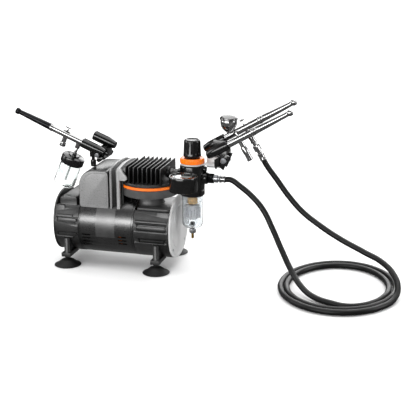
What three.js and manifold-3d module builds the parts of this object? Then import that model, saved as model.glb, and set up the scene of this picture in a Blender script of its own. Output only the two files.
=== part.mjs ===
// Airbrush compressor with two twin holders, three airbrushes and an air hose. Millimetres, +Z up.
import * as THREE from "three";
import { mergeVertices } from "three/addons/utils/BufferGeometryUtils.js";
import Module from "manifold-3d";
const wasm = await Module();
wasm.setup();

// Overall sizes
const BODY_R = 46; // motor body
const AXIS_Z = 57; // motor shaft above the floor
const BODY_HALF = 84; // half length between the end plates
const WALL = 3;
const GAP = 0.3; // standing clearance between fixed pieces
const RUN = 0.5; // running clearance
const ORIGIN_X = 50.5; // from the feet's centre to the middle of the whole object
const FOOT_X = 66.5, FOOT_Y = 46, CUP_R = 19.2;
const FLAT_Z = 86; // both end bells are cut flat here
const SLEEVE_X0 = -49, SLEEVE_X1 = 33; // centre sleeve
// Cylinder and head
const CYL_X = 45, BORE_R = 15, BARREL_R = 19, DISC_R = 41.5;
const DISC_Z0 = 103.2, GASKET_Z0 = 116, GASKET_T = 4;
const FINS = 9, FIN_PITCH = 6.5, FIN_T = 2, FIN_Y = 36, FIN_TOP = 147.5;
const HEAD_Z0 = GASKET_Z0 + GASKET_T + GAP;
const THROW = 6, PIN_R = 8, SHAFT_R = 5, ROD_T = 8, FAN_R = 34;
// Top housing
const HOUSE_Y = 36, HOUSE_TOP = 140, COVER_X0 = -50, COVER_X1 = -5, HOUSE_X2 = 11.5, HOUSE_X3 = 17.8;
// Regulator
const REG_X = 107, REG_R = 17.5, REG_Z0 = 104.5, REG_Z1 = 148.5, BOWL_R = 15.2, BOWL_Z0 = 57;
const RING_R = 17.3, RING_Z0 = 151.2, RING_Z1 = 158.4, KNOB_R = 12, KNOB_Z1 = 184.5, KNOB_LIFT = 3;
const GAUGE_Y = -40.5, GAUGE_R = 20, GAUGE_Z0 = 120.5, GAUGE_H = 21.5;
const OUT_Z = 130, HOSE_R = 4, HOSE_X = 155;
// Holders and airbrushes
const TUBE_R = 7, TUBE_BORE = 6.1, LIP = 2;
const RIGHT_TILT = 30, LEFT_TILT = 22.5; // degrees above level

const D = Math.PI / 180;
const paint = (color, metalness, roughness, extra = {}) =>
  new THREE.MeshStandardMaterial({ color, metalness, roughness, ...extra });
const M = {
  black: paint(0x2a2b2d, 0.6, 0.4), cast: paint(0x232426, 0.5, 0.5), grey: paint(0x6f7173, 0.4, 0.5),
  plate: paint(0xc9cbcc, 0.3, 0.5), orange: paint(0xf5761a, 0, 0.5), steel: paint(0xb5b7ba, 0.9, 0.3),
  chrome: paint(0xd8dadd, 1, 0.12), plastic: paint(0x151617, 0, 0.35), rubber: paint(0x3a3a3c, 0, 0.8),
  clear: paint(0xe8ecee, 0, 0.1, { transparent: true, opacity: 0.35 }), brass: paint(0xb8934a, 0.9, 0.35),
  copper: paint(0xa65a2e, 0.8, 0.4), white: paint(0xf2f2f0, 0, 0.5), red: paint(0xc4202a, 0, 0.5),
  tan: paint(0xb99a6b, 0, 0.8), aluminium: paint(0xa9acaf, 0.9, 0.4),
};

// A geometry as a manifold solid, and back.
function solid(geometry) {
  const bare = geometry.clone();
  bare.deleteAttribute("normal");
  bare.deleteAttribute("uv");
  const merged = mergeVertices(bare, 1e-4);
  return new wasm.Manifold(new wasm.Mesh({
    numProp: 3,
    vertProperties: new Float32Array(merged.attributes.position.array),
    triVerts: new Uint32Array(merged.index.array),
  }));
}
function geometryOf(body) {
  const m = body.getMesh();
  const g = new THREE.BufferGeometry();
  g.setAttribute("position", new THREE.BufferAttribute(new Float32Array(m.vertProperties), 3));
  g.setIndex(new THREE.BufferAttribute(new Uint32Array(m.triVerts), 1));
  g.computeVertexNormals();
  return g;
}
const join = (...bodies) => bodies.reduce((a, b) => a.add(b));
const cut = (a, ...bodies) => bodies.reduce((s, b) => s.subtract(b), a);

// Basic solids, all placed in the frame of the group they belong to.
function box(x0, x1, y0, y1, z0, z1) {
  const g = new THREE.BoxGeometry(x1 - x0, y1 - y0, z1 - z0);
  return solid(g.translate((x0 + x1) / 2, (y0 + y1) / 2, (z0 + z1) / 2));
}
// A round bar between two heights on the given axis, through the point (a, b) of the other two.
function rod(axis, r, from, to, a = 0, b = 0, sides = 24, r2 = r) {
  const g = new THREE.CylinderGeometry(r2, r, to - from, sides);
  g.translate(0, (from + to) / 2, 0);
  if (axis === "z") g.rotateX(Math.PI / 2).translate(a, b, 0);
  if (axis === "x") g.rotateZ(-Math.PI / 2).translate(0, a, b);
  if (axis === "y") g.translate(a, 0, b);
  return solid(g);
}
// A turned solid about Z from [radius, height] pairs that start and end on the axis or close on themselves.
function turned(profile, sides = 32, x = 0, y = 0) {
  const g = new THREE.LatheGeometry(profile.map(([r, z]) => new THREE.Vector2(r, z)), sides);
  return solid(g.rotateX(Math.PI / 2).translate(x, y, 0));
}
const ringProfile = (r0, r1, z0, z1) => [[r0, z0], [r1, z0], [r1, z1], [r0, z1], [r0, z0]];
// The same about the motor axis, from [radius, x] pairs.
function turnedX(profile, sides = 40) {
  const g = new THREE.LatheGeometry(profile.map(([r, x]) => new THREE.Vector2(r, x)), sides);
  return solid(g.rotateZ(-Math.PI / 2).translate(0, 0, AXIS_Z));
}
// An outline in XZ, extruded along Y from y0 to y1.
function slabY(shape, y0, y1, bevel = 0) {
  const g = new THREE.ExtrudeGeometry(shape, {
    depth: y1 - y0 - 2 * bevel, bevelEnabled: bevel > 0, bevelThickness: bevel, bevelSize: bevel,
    bevelOffset: -bevel, bevelSegments: 2, curveSegments: 8,
  });
  return solid(g.translate(0, 0, bevel).rotateX(Math.PI / 2).translate(0, y1, 0));
}
// An outline in YZ, extruded along X from x0 to x1.
function slabX(shape, x0, x1) {
  const g = new THREE.ExtrudeGeometry(shape, { depth: x1 - x0, bevelEnabled: false, curveSegments: 10 });
  return solid(g.rotateX(Math.PI / 2).rotateZ(Math.PI / 2).translate(x0, 0, 0));
}
function outline(points) {
  const s = new THREE.Shape();
  points.forEach(([a, b], i) => (i ? s.lineTo(a, b) : s.moveTo(a, b)));
  s.closePath();
  return s;
}
function rounded(x0, x1, z0, z1, radii) {
  const [bl, br, tr, tl] = radii;
  const s = new THREE.Shape();
  s.moveTo(x0 + bl, z0);
  s.lineTo(x1 - br, z0);
  s.quadraticCurveTo(x1, z0, x1, z0 + br);
  s.lineTo(x1, z1 - tr);
  s.quadraticCurveTo(x1, z1, x1 - tr, z1);
  s.lineTo(x0 + tl, z1);
  s.quadraticCurveTo(x0, z1, x0, z1 - tl);
  s.lineTo(x0, z0 + bl);
  s.quadraticCurveTo(x0, z0, x0 + bl, z0);
  return s;
}

const group = new THREE.Group();
const machine = new THREE.Group();
machine.position.x = -ORIGIN_X;
group.add(machine);
// Adds one named piece whose own origin is at pivot.
function piece(name, body, material, parent = machine, pivot = [0, 0, 0]) {
  const mesh = new THREE.Mesh(geometryOf(body).translate(-pivot[0], -pivot[1], -pivot[2]), material);
  mesh.name = name;
  mesh.position.set(...pivot);
  parent.add(mesh);
  return mesh;
}

// ---- Motor body ----
const bodyBar = (r, x0, x1) => turnedX([[0, x0], [r, x0], [r, x1], [0, x1]]);
const barrelRoom = rod("z", BARREL_R + RUN, FLAT_Z, 130, CYL_X, 0, 32);
let sleeve = cut(bodyBar(BODY_R - GAP, SLEEVE_X0, SLEEVE_X1), bodyBar(BODY_R - WALL, SLEEVE_X0 - 1, SLEEVE_X1 + 1));
const slots = [[-38, 4], [16, 3]];
for (const [x, n] of slots)
  for (let i = 0; i < n; i++)
    for (const side of [-1, 1]) {
      const z = AXIS_Z - 10 - 5.4 * i;
      sleeve = cut(sleeve, box(x - 7, x + 7, ...(side < 0 ? [-50, -28] : [28, 50]), z - 1.1, z + 1.1));
    }
sleeve = cut(sleeve, barrelRoom);
piece("motor_sleeve", sleeve, M.black);

// One end bell: a ring with raised bars, square lugs, two legs, a flat-cut top and a bearing web.
function bell(x0, x1, webX, hubR, end) {
  let b = cut(bodyBar(BODY_R, x0, x1), bodyBar(BODY_R - WALL - 1, x0 - 1, x1 + 1));
  const bar = [x0 + 2, x1 - (end < 0 ? 8 : 2)];
  for (const side of [-1, 1])
    for (const z of [AXIS_Z + 15, AXIS_Z - 15])
      b = join(b, rod("x", 2.6, ...bar, side * Math.sqrt(BODY_R ** 2 - 15 ** 2), z, 8));
  b = cut(b, box(x0 - 1, x1 + 1, -60, 60, FLAT_Z, 120));
  for (const side of [-1, 1]) {
    const inner = BODY_R - WALL;
    const legX = end * FOOT_X;
    b = join(b, cut(join(
      rod("z", 4.6, 16, 40, legX, side * (FOOT_Y - 1), 12),
      box(legX - 6.5, legX + 6.5, side < 0 ? -FOOT_Y - 6.5 : 18, side < 0 ? -18 : FOOT_Y + 6.5, 13.4, 19),
      box(legX - 3, legX + 3, side < 0 ? -FOOT_Y : 20, side < 0 ? -20 : FOOT_Y, 18, 38),
    ), bodyBar(inner, x0 - 9, x1 + 9)));
    const lug = end < 0 ? [x0, x0 + 13] : [x1 - 17, x1];
    const y = side < 0 ? [-39.5, -30] : [30, 39.5];
    b = join(b, cut(box(...lug, ...y, 74, FLAT_Z), bodyBar(inner, x0 - 9, x1 + 9)));
  }
  const ring = bodyBar(BODY_R - WALL, webX, webX + 3);
  const hub = bodyBar(hubR + 5, webX - 2, webX + 4.5);
  let web = cut(join(cut(ring, box(webX - 1, webX + 4, -60, 60, FLAT_Z - 4, 120)), hub),
    bodyBar(hubR, webX - 9, webX + 9));
  for (let i = 0; i < 6; i++) {
    const a = (i * 60 + 30) * D;
    web = cut(web, rod("x", 8, webX - 9, webX + 9, 27 * Math.cos(a), AXIS_Z + 27 * Math.sin(a), 10));
  }
  return join(b, web);
}
let leftBell = bell(-BODY_HALF, SLEEVE_X0 - GAP, -76, SHAFT_R + GAP, -1);
leftBell = join(leftBell, cut(slabY(rounded(-80, -54, 83, 99, [2, 2, 6, 8]), -34, 34, 1),
  bodyBar(FAN_R + 3, -90, -40)));
piece("left_bell", leftBell, M.cast);
piece("right_bell", bell(SLEEVE_X1 + GAP, BODY_HALF, SLEEVE_X1 + 2, SHAFT_R + GAP, 1), M.cast);

const plateShape = (r) => {
  const s = new THREE.Shape();
  for (let i = 0; i < 36; i++) {
    const a = i * 10 * D;
    const k = r * (1 + 0.02 * Math.cos(4 * a + Math.PI));
    if (i) s.lineTo(k * Math.cos(a), k * Math.sin(a) + AXIS_Z);
    else s.moveTo(k * Math.cos(a), k * Math.sin(a) + AXIS_Z);
  }
  s.closePath();
  return s;
};
for (const [name, side, material] of [["left_plate", -1, M.cast], ["right_plate", 1, M.plate]]) {
  const x = side * (BODY_HALF + GAP);
  const span = (t) => (side > 0 ? [x, x + t] : [x - t, x]);
  let p = slabX(plateShape(BODY_R), ...span(3));
  const inner = side > 0 ? [x - 1, x + 1.6] : [x - 1.6, x + 1];
  p = cut(p, slabX(plateShape(BODY_R - 1.6), ...inner));
  p = join(p, rod("x", 4, ...span(3), 0, AXIS_Z, 16));
  for (let i = 0; i < 4; i++) {
    const a = (45 + 90 * i) * D;
    p = cut(p, rod("x", 1.7, x - 5, x + 5, 40 * Math.cos(a), AXIS_Z + 40 * Math.sin(a), 8));
  }
  piece(name, p, material);
}

// ---- Motor inside ----
const stator = cut(bodyBar(BODY_R - WALL - GAP, -28, 14), bodyBar(25, -40, 40));
let windings = stator;
for (let i = 0; i < 8; i++) {
  const a = i * 45 * D;
  windings = cut(windings, rod("x", 5, -40, 40, 33 * Math.cos(a), AXIS_Z + 33 * Math.sin(a), 8));
}
piece("stator", windings, M.copper);
piece("rotor", cut(bodyBar(24.3, -26, 12), bodyBar(SHAFT_R + GAP, -40, 40)), M.steel, machine, [0, 0, AXIS_Z]);
const pin = rod("x", PIN_R, CYL_X - ROD_T / 2 - 1, CYL_X + ROD_T / 2 + 1, 0, AXIS_Z + THROW, 32);
piece("crank_shaft", join(bodyBar(SHAFT_R, -78, CYL_X + 2), pin), M.steel, machine, [0, 0, AXIS_Z]);
let fan = cut(bodyBar(10, -66, -54), bodyBar(SHAFT_R + GAP, -80, 0));
fan = join(fan, cut(bodyBar(FAN_R, -66, -64), bodyBar(9, -80, 0)));
for (let i = 0; i < 7; i++) {
  const g = new THREE.BoxGeometry(12, 24, 1.6);
  g.translate(-60, 21, 0).rotateX((i * 360) / 7 * D).translate(0, 0, AXIS_Z);
  fan = join(fan, solid(g));
}
piece("fan", fan, M.plastic, machine, [0, 0, AXIS_Z]);

// ---- Cylinder ----
const onCylinder = (profile, sides = 40) => turned(profile, sides, CYL_X, 0);
let cylinder = join(
  onCylinder([[0, FLAT_Z + GAP], [BARREL_R + 3, FLAT_Z + GAP], [BARREL_R, 94], [BARREL_R, DISC_Z0],
    [DISC_R - 3, DISC_Z0], [DISC_R, DISC_Z0 + 3], [DISC_R, GASKET_Z0 - GAP], [0, GASKET_Z0 - GAP]]),
  box(SLEEVE_X1 + 2, BODY_HALF - 1, -34, 34, FLAT_Z + GAP, FLAT_Z + 3),
);
cylinder = cut(cylinder, rod("z", BORE_R, 60, 130, CYL_X, 0, 32));
piece("cylinder", cylinder, M.cast);
const ringSpan = [GASKET_Z0, GASKET_Z0 + GASKET_T];
piece("head_gasket", onCylinder(ringProfile(26, DISC_R + 0.5, ...ringSpan)), M.orange);
let valvePlate = onCylinder([[0, ringSpan[0]], [25.7, ringSpan[0]], [25.7, ringSpan[1]], [0, ringSpan[1]]]);
for (const y of [-7, 7]) valvePlate = cut(valvePlate, rod("z", 3, 100, 130, CYL_X, y, 16));
piece("valve_plate", valvePlate, M.steel);
// The head: a round foot, a chambered core with its outlet boss, and the row of plates.
let head = onCylinder([[0, HEAD_Z0], [DISC_R, HEAD_Z0], [DISC_R, HEAD_Z0 + 4], [0, HEAD_Z0 + 4]]);
head = join(head, box(CYL_X - 20, CYL_X + 20, -15, 15, HEAD_Z0 + 3, 142));
for (let i = 0; i < FINS; i++) {
  const x = CYL_X + (i - (FINS - 1) / 2) * FIN_PITCH;
  const shape = outline([[-FIN_Y + (i ? 0 : 4), HEAD_Z0], [FIN_Y - (i ? 0 : 12), HEAD_Z0],
    [FIN_Y - (i ? 0 : 12), FIN_TOP], [-FIN_Y + 1.5 + (i ? 0 : 4), FIN_TOP], [-FIN_Y + (i ? 0 : 4), FIN_TOP - 1.5]]);
  head = join(head, slabX(shape, x - FIN_T / 2, x + FIN_T / 2));
}
head = join(head, rod("x", 8, CYL_X, CYL_X + 29.5, 0, 135, 24));
head = cut(head, box(CYL_X - 16, CYL_X + 16, -12, 12, HEAD_Z0 - 1, 139),
  rod("x", 4, CYL_X, CYL_X + 40, 0, 135, 16));
piece("cylinder_head", head, M.black);
// Piston and connecting rod: the big end is opened so that the piston can be shown at every height.
const top = GASKET_Z0 - 2, pinZ = AXIS_Z + THROW, bigR = PIN_R + 2 * THROW + RUN;
const slice = [CYL_X - ROD_T / 2, CYL_X + ROD_T / 2];
let piston = join(rod("z", BORE_R - 0.25, top - 10, top, CYL_X, 0, 32),
  box(...slice, -5, 5, pinZ + bigR, top - 8), rod("x", bigR + 4, ...slice, 0, pinZ, 32));
piston = cut(piston, rod("x", bigR, slice[0] - 1, slice[1] + 1, 0, pinZ, 32));
piece("piston_rod", piston, M.aluminium, machine, [CYL_X, 0, top]);

// ---- Top housing ----
const overBody = bodyBar(BODY_R + GAP, -90, 90);
const discRoom = rod("z", DISC_R + 1, 90, HEAD_Z0 + 4.5, CYL_X, 0, 40);
const coverShape = (o) => rounded(COVER_X0 + o, COVER_X1 + 12, 82 + o, HOUSE_TOP - o, [9, 5, 5, 24]);
let cover = cut(slabY(coverShape(0), -HOUSE_Y, HOUSE_Y, 3), slabY(coverShape(2.2), -HOUSE_Y + 2.5, HOUSE_Y - 2.5),
  box(COVER_X1, COVER_X1 + 20, -60, 60, 70, HOUSE_TOP + 10), overBody);
cover = join(cover, slabY(rounded(COVER_X0 + 9, COVER_X1 - 3, 92, HOUSE_TOP - 5, [6, 3, 3, 17]), -HOUSE_Y - 1,
  -HOUSE_Y + 1, 0.6));
const switchHole = [-34, -20];
cover = cut(cover, box(...switchHole, 30, 40, 112, 132));
piece("housing_cover", cover, M.grey);
// The frame's plates stand along the cover's right edge, and its top carries ridged arched bands.
const archShape = (h, y) => {
  const s = new THREE.Shape();
  s.moveTo(-y, 84);
  s.lineTo(y, 84);
  s.lineTo(y, HOUSE_TOP + 1);
  s.quadraticCurveTo(y - 3, HOUSE_TOP + h - 1, y - 12, HOUSE_TOP + h);
  s.quadraticCurveTo(0, HOUSE_TOP + h + 4, -y + 12, HOUSE_TOP + h);
  s.quadraticCurveTo(-y + 3, HOUSE_TOP + h - 1, -y, HOUSE_TOP + 1);
  return s;
};
let frameBody = join(
  slabX(archShape(5, HOUSE_Y + 0.6), COVER_X1 + GAP, COVER_X1 + 3.3),
  slabX(archShape(3.5, HOUSE_Y - 3), COVER_X1 + 3, HOUSE_X2 - 2.5),
  slabX(archShape(5, HOUSE_Y - 1.2), COVER_X1 + 6, COVER_X1 + 8.4),
  slabX(archShape(5, HOUSE_Y + 0.6), HOUSE_X2 - 3, HOUSE_X2),
  slabY(outline([[HOUSE_X2 - 2, 127.5], [HOUSE_X2 + 7.5, 127.5], [HOUSE_X2 + 11, 131], [HOUSE_X2 + 1, HOUSE_TOP + 4],
    [HOUSE_X2 - 2, HOUSE_TOP + 4]]), -HOUSE_Y - 0.6, -HOUSE_Y + 2),
);
frameBody = cut(frameBody, box(COVER_X1 - 1, HOUSE_X2 - 3, -HOUSE_Y + 6, HOUSE_Y - 6, 90, HOUSE_TOP - 3),
  overBody, discRoom);
piece("housing_frame", frameBody, M.cast);
let end = slabX(archShape(1.5, HOUSE_Y - 6), HOUSE_X2 + GAP, HOUSE_X3);
end = cut(end, box(HOUSE_X2 - 1, HOUSE_X3 - 3, -HOUSE_Y + 9, HOUSE_Y - 9, 112, HOUSE_TOP - 3), overBody, discRoom);
piece("housing_end", end, M.cast);
piece("capacitor", rod("z", 13, 105.5, 133, -24, -6, 24), M.plastic);
const rocker = slabX(outline([[34.5, 113], [38.5, 113], [37.5, 122], [39.5, 131], [34.5, 131]]),
  switchHole[0] + RUN, switchHole[1] - RUN);
piece("power_switch", rocker, M.plastic, machine, [-27, 35.5, 122]);
piece("mains_gland", turned([[0, 0], [6, 0], [6, 3], [4, 3], [4, 9], [2.6, 9], [2.6, 1], [0, 1]], 20), M.plastic);
machine.children.at(-1).rotation.x = -Math.PI / 2;
machine.children.at(-1).position.set(-27, HOUSE_Y + GAP, 100);

// ---- Feet ----
for (const [sx, ex] of [[-1, "left"], [1, "right"]])
  for (const [sy, ey] of [[-1, "front"], [1, "rear"]])
    piece(`suction_cup_${ex}_${ey}`, turned([[0, 3.5], [CUP_R - 3.2, 0], [CUP_R - 0.4, 0], [CUP_R, 0.5], [CUP_R - 5, 4], [7, 8.4], [3.6, 9.4], [3.6, 11.2],
      [4.6, 13.1], [0, 13.1]], 20, sx * FOOT_X, sy * FOOT_Y), M.rubber);

// ---- Regulator and filter ----
const onReg = (profile, sides = 32) => turned(profile, sides, REG_X, 0);
const linkX0 = CYL_X + 29.5 + GAP, linkX1 = REG_X - REG_R - 2.5;
piece("air_link", cut(rod("x", 5.5, linkX0, linkX1 - GAP, 0, 135, 6), rod("x", 3, 0, 200, 0, 135, 12)), M.cast);
let regBody = join(
  onReg([[0, REG_Z0], [REG_R, REG_Z0], [REG_R, REG_Z1 - 2], [REG_R - 1, REG_Z1], [11, REG_Z1], [11, RING_Z1 + 0.6],
    [0, RING_Z1 + 0.6]]),
  rod("x", 7, linkX1, REG_X, 0, 135, 24),
  rod("x", 8.5, REG_X, REG_X + 22.5, 0, OUT_Z, 24),
  rod("y", 4.5, GAUGE_Y + GAUGE_R - 2, 0, REG_X - 1, 129, 16),
);
const gaugeRoom = rod("z", GAUGE_R + GAP, 100, 150, REG_X - 1, GAUGE_Y, 32);
regBody = cut(regBody, gaugeRoom, rod("z", 8.5, 140, 170, REG_X, 0, 24), rod("x", 4, 60, REG_X + 4, 0, 135, 16),
  rod("x", 3.5, REG_X, 140, 0, OUT_Z, 16), rod("z", 11.5, 100, 112, REG_X, 0, 24), rod("z", 3, 100, 150, REG_X, 0, 12));
piece("regulator_body", regBody, M.plastic);
piece("regulator_ring", onReg(ringProfile(11 + GAP, RING_R, RING_Z0, RING_Z1), 40), M.orange);
const stemR = 4;
piece("regulator_screw", onReg([[0, 152.5], [7.5, 152.5], [7.5, 155.5], [stemR, 155.5], [stemR, 172], [0, 172]], 20),
  M.brass, machine, [REG_X, 0, 160]);
const coil = new THREE.CatmullRomCurve3(Array.from({ length: 41 }, (_, i) =>
  new THREE.Vector3(REG_X + 6.6 * Math.cos(i * 0.7), 6.6 * Math.sin(i * 0.7), 142 + i * 0.22)));
piece("regulator_spring", solid(new THREE.ExtrudeGeometry(
  new THREE.Shape(Array.from({ length: 5 }, (_, i) => new THREE.Vector2(0.6 * Math.cos(i * 72 * D), 0.6 * Math.sin(i * 72 * D)))),
  { steps: 44, extrudePath: coil, bevelEnabled: false })), M.steel);
let knob = onReg([[0, RING_Z1 + 1.6], [KNOB_R - 0.6, RING_Z1 + 1.6], [KNOB_R, RING_Z1 + 4], [KNOB_R - 0.8, KNOB_Z1 - 1.5],
  [KNOB_R - 2.4, KNOB_Z1], [KNOB_R - 4, KNOB_Z1 - 1.6], [0, KNOB_Z1 - 2.4]], 36);
for (let i = 0; i < 15; i++) {
  const a = i * 24 * D;
  knob = cut(knob, rod("z", 1.1, RING_Z1 + 5, KNOB_Z1 + 1, REG_X + (KNOB_R + 0.2) * Math.cos(a),
    (KNOB_R + 0.2) * Math.sin(a), 5));
}
knob = cut(knob, rod("z", stemR + RUN, 150, 172.5 + KNOB_LIFT, REG_X, 0, 20));
piece("regulator_knob", knob, M.plastic, machine, [REG_X, 0, 160]);

const gx = REG_X - 1;
const onGauge = (profile, sides = 32) => turned(profile, sides, gx, GAUGE_Y);
const rimZ = GAUGE_Z0 + GAUGE_H;
piece("gauge_can", onGauge([[0, GAUGE_Z0], [GAUGE_R - 1, GAUGE_Z0], [GAUGE_R, GAUGE_Z0 + 1], [GAUGE_R, rimZ],
  [GAUGE_R - 2, rimZ], [GAUGE_R - 2, rimZ - 7], [0, rimZ - 7]]), M.plastic);
piece("gauge_dial", onGauge([[0, rimZ - 6.7], [GAUGE_R - 2.4, rimZ - 6.7], [GAUGE_R - 2.4, rimZ - 5.7],
  [0, rimZ - 5.7]]), M.white);
const needle = join(onGauge([[0, rimZ - 5.3], [2.4, rimZ - 5.3], [2.4, rimZ - 3.2], [0, rimZ - 3.2]], 16),
  box(gx - 0.6, gx + 0.6, GAUGE_Y - 14, GAUGE_Y + 5, rimZ - 4.8, rimZ - 4));
piece("gauge_needle", needle, M.plastic, machine, [gx, GAUGE_Y, rimZ - 5]);
piece("gauge_lens", onGauge([[0, rimZ - 2.4], [GAUGE_R - 2.4, rimZ - 2.4], [GAUGE_R - 2.4, rimZ - 0.9],
  [0, rimZ - 0.9]]), M.clear);

const bowlTop = REG_Z0 - GAP;
piece("filter_bowl", onReg([[3.4, BOWL_Z0], [11.5, BOWL_Z0], [BOWL_R, BOWL_Z0 + 5], [BOWL_R, bowlTop],
  [BOWL_R - 2, bowlTop], [BOWL_R - 2, BOWL_Z0 + 6], [10.5, BOWL_Z0 + 2], [3.4, BOWL_Z0 + 2], [3.4, BOWL_Z0]]), M.clear);
piece("filter_element", onReg([[0, 72], [3, 72], [3, 76], [8, 76.5], [9.5, 80], [8.8, 92], [7, 93], [7, 103.5],
  [2, 103.5], [2, 110], [0, 110]], 24), M.tan);
piece("drain_valve", onReg([[0, 40], [1.6, 40], [1.9, 48], [4.6, 48.6], [4.6, BOWL_Z0 - 2.6], [3, BOWL_Z0 - 2.4], [3, BOWL_Z0 + 2.6],
  [5.4, BOWL_Z0 + 2.8], [5.4, BOWL_Z0 + 4], [0, BOWL_Z0 + 4]], 20), M.brass, machine, [REG_X, 0, BOWL_Z0]);
const outX = REG_X + 22.5 + GAP;
piece("outlet_fitting", join(rod("x", 7.6, outX, 139.5, 0, OUT_Z, 6), rod("x", 4.6, 139, HOSE_X - 10, 0, OUT_Z, 20),
  rod("x", 5.4, HOSE_X - 11, HOSE_X, 0, OUT_Z, 20)), M.chrome);

// ---- Holders ----
// A socket along local Z, open at the top, with a lip at the bottom that an airbrush rests on.
const socket = (length, r = TUBE_R) => turned([[2.6, 0], [r, 0], [r, length], [TUBE_BORE, length], [TUBE_BORE, LIP],
  [2.6, LIP], [2.6, 0]], 22);
function leaning(x, y, z, tilt, side) {
  const g = new THREE.Group();
  g.position.set(x, y, z);
  g.rotation.y = side * (90 - tilt) * D;
  machine.add(g);
  return g;
}
const B_Y = -8, A_Y = 22, TUBE_L = 34;
const holdB = leaning(131, B_Y, 164.5, RIGHT_TILT, 1);
const holdA = leaning(119, A_Y, 166.5, RIGHT_TILT, 1);
const slotR = box(-9, 0, -1.6, 1.6, 12, TUBE_L + 1), slotL = box(0, 9, -1.6, 1.6, 12, TUBE_L + 3);
piece("holder_socket_b", cut(socket(TUBE_L), slotR), M.plastic, holdB);
piece("holder_socket_a", cut(socket(TUBE_L), slotR), M.plastic, holdA);
const bracketHole = rod("z", 11 + GAP, 140, 160, REG_X, 0, 32);
let bracket = join(
  rod("z", RING_R - 0.8, REG_Z1 + GAP, REG_Z1 + 2.3, REG_X, 0, 32),
  box(REG_X, 149, -3, 11, REG_Z1 + GAP, REG_Z1 + 2.3),
  box(REG_X + 18.5, 149, 9, 11, 143, 158),
  box(146.8, 149, -11, 11, REG_Z1 + GAP, 163),
);
piece("holder_bracket", cut(bracket, bracketHole), M.plate);
const throughSocket = (h) => {
  const g = new THREE.CylinderGeometry(TUBE_R + GAP, TUBE_R + GAP, 80, 24).rotateX(Math.PI / 2);
  return solid(g.rotateY((90 - RIGHT_TILT) * D).translate(h.position.x, h.position.y, h.position.z));
};
let clampR = join(box(149.3, 155, -12, 30, 150, 167), box(134, 152, 11.3, 15.5, 152, 182),
  slabY(outline([[149.3, 150], [158, 168], [163, 166], [155, 146]]), -13, -9.5),
  slabY(outline([[149.3, 150], [158, 168], [163, 166], [155, 146]]), 6, 9.5),
  box(134, 146, 11.3, 30, 162, 170), box(149.3, 159, -12, 6, 160, 176));
clampR = cut(clampR, throughSocket(holdB), throughSocket(holdA));
const parts = clampR.decompose();
piece("holder_clamp_right", parts.reduce((a, b) => (a.volume() > b.volume() ? a : b)), M.plastic);

const C_Y = -20, SPARE_Y = 8, POST_X = -41;
const leftDir = [-Math.cos(LEFT_TILT * D), Math.sin(LEFT_TILT * D)];
const C_L = 35;
const holdC = leaning(-48 - leftDir[0] * C_L, C_Y, 175 - leftDir[1] * C_L, LEFT_TILT, -1);
const holdS = leaning(-41 - leftDir[0] * C_L, SPARE_Y, 180 - leftDir[1] * C_L, LEFT_TILT, -1);
piece("holder_socket_c", cut(socket(C_L), slotL), M.plastic, holdC);
piece("holder_socket_spare", cut(socket(C_L), slotL), M.plastic, holdS);
const throughLeft = (h) => {
  const g = new THREE.CylinderGeometry(TUBE_R + GAP, TUBE_R + GAP, 90, 24).rotateX(Math.PI / 2);
  return solid(g.rotateY(-(90 - LEFT_TILT) * D).translate(h.position.x, h.position.y, h.position.z));
};
const standZ = HOUSE_TOP + GAP;
let stand = join(rod("z", 4, standZ, 149, POST_X + 6, C_Y + 6, 16), rod("z", 2.4, 148, 160, POST_X + 6, C_Y + 6, 12),
  box(POST_X + 2, -14, C_Y + 3, SPARE_Y - 4, 154, 166), box(-26, -16, C_Y - 2, SPARE_Y + 4, 152, 168),
  rod("y", 5.5, C_Y + 2, SPARE_Y - 2, -24, 160, 16), rod("y", 3.2, C_Y - 12, SPARE_Y + 12, -20, 154, 12));
stand = cut(stand, throughLeft(holdC), throughLeft(holdS));
piece("holder_stand_left", stand.decompose().reduce((a, b) => (a.volume() > b.volume() ? a : b)), M.cast);

// ---- Airbrushes: each is built along local Z from its nose, seated in its socket ----
// Holes for the trigger are cut from the top, the side away from the air valve.
function airbrush(name, holder, seat, length, valve, reach, top, material, extras) {
  const g = new THREE.Group();
  g.position.z = seat;
  holder.add(g);
  const tail = valve + 22;
  let body = turned([[0, 0], [1.2, 0], [2.2, 7], [3.4, 7.4], [4.2, 14], [5, 14.4], [5, 19], [4.75, 20], [4.75, tail - 1],
    [5.3, tail], [5.3, tail + 3], [0, tail + 3]], 18);
  body = join(body, rod("x", 3.4, ...(top < 0 ? [0, 12.5] : [-12.5, 0]), 0, valve, 14),
    rod("x", 4.4, ...(top < 0 ? [12, reach] : [-reach, -12]), 0, valve, 12));
  if (extras) body = join(body, ...extras.add);
  const pocket = top < 0 ? [-9, 3] : [-3, 9];
  body = cut(body, box(...pocket, -2.1, 2.1, valve - 5, valve + 5));
  if (extras && extras.cut) body = cut(body, ...extras.cut);
  piece(`${name}_body`, body, M.chrome, g);
  const at = (a) => top * a;
  const span = (a, b) => (top < 0 ? [-b, -a] : [a, b]);
  const trigger = join(box(...span(-0.4, 11.5), -1.5, 1.5, valve - 1.8, valve + 1.8),
    rod("x", 4, ...span(10.5, 12.6), 0, valve, 16));
  piece(`${name}_trigger`, trigger, M.chrome, g, [at(4), 0, valve]);
  const h0 = tail + 3 + GAP;
  piece(`${name}_handle`, turned([[0, h0], [4.9, h0], [4.6, h0 + 10], [3.6, length - 9], [3.4, length - 5.6],
    [4.25, length - 5], [4.25, length - 0.6], [3.4, length], [0, length]], 18), material, g);
  return g;
}
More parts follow.
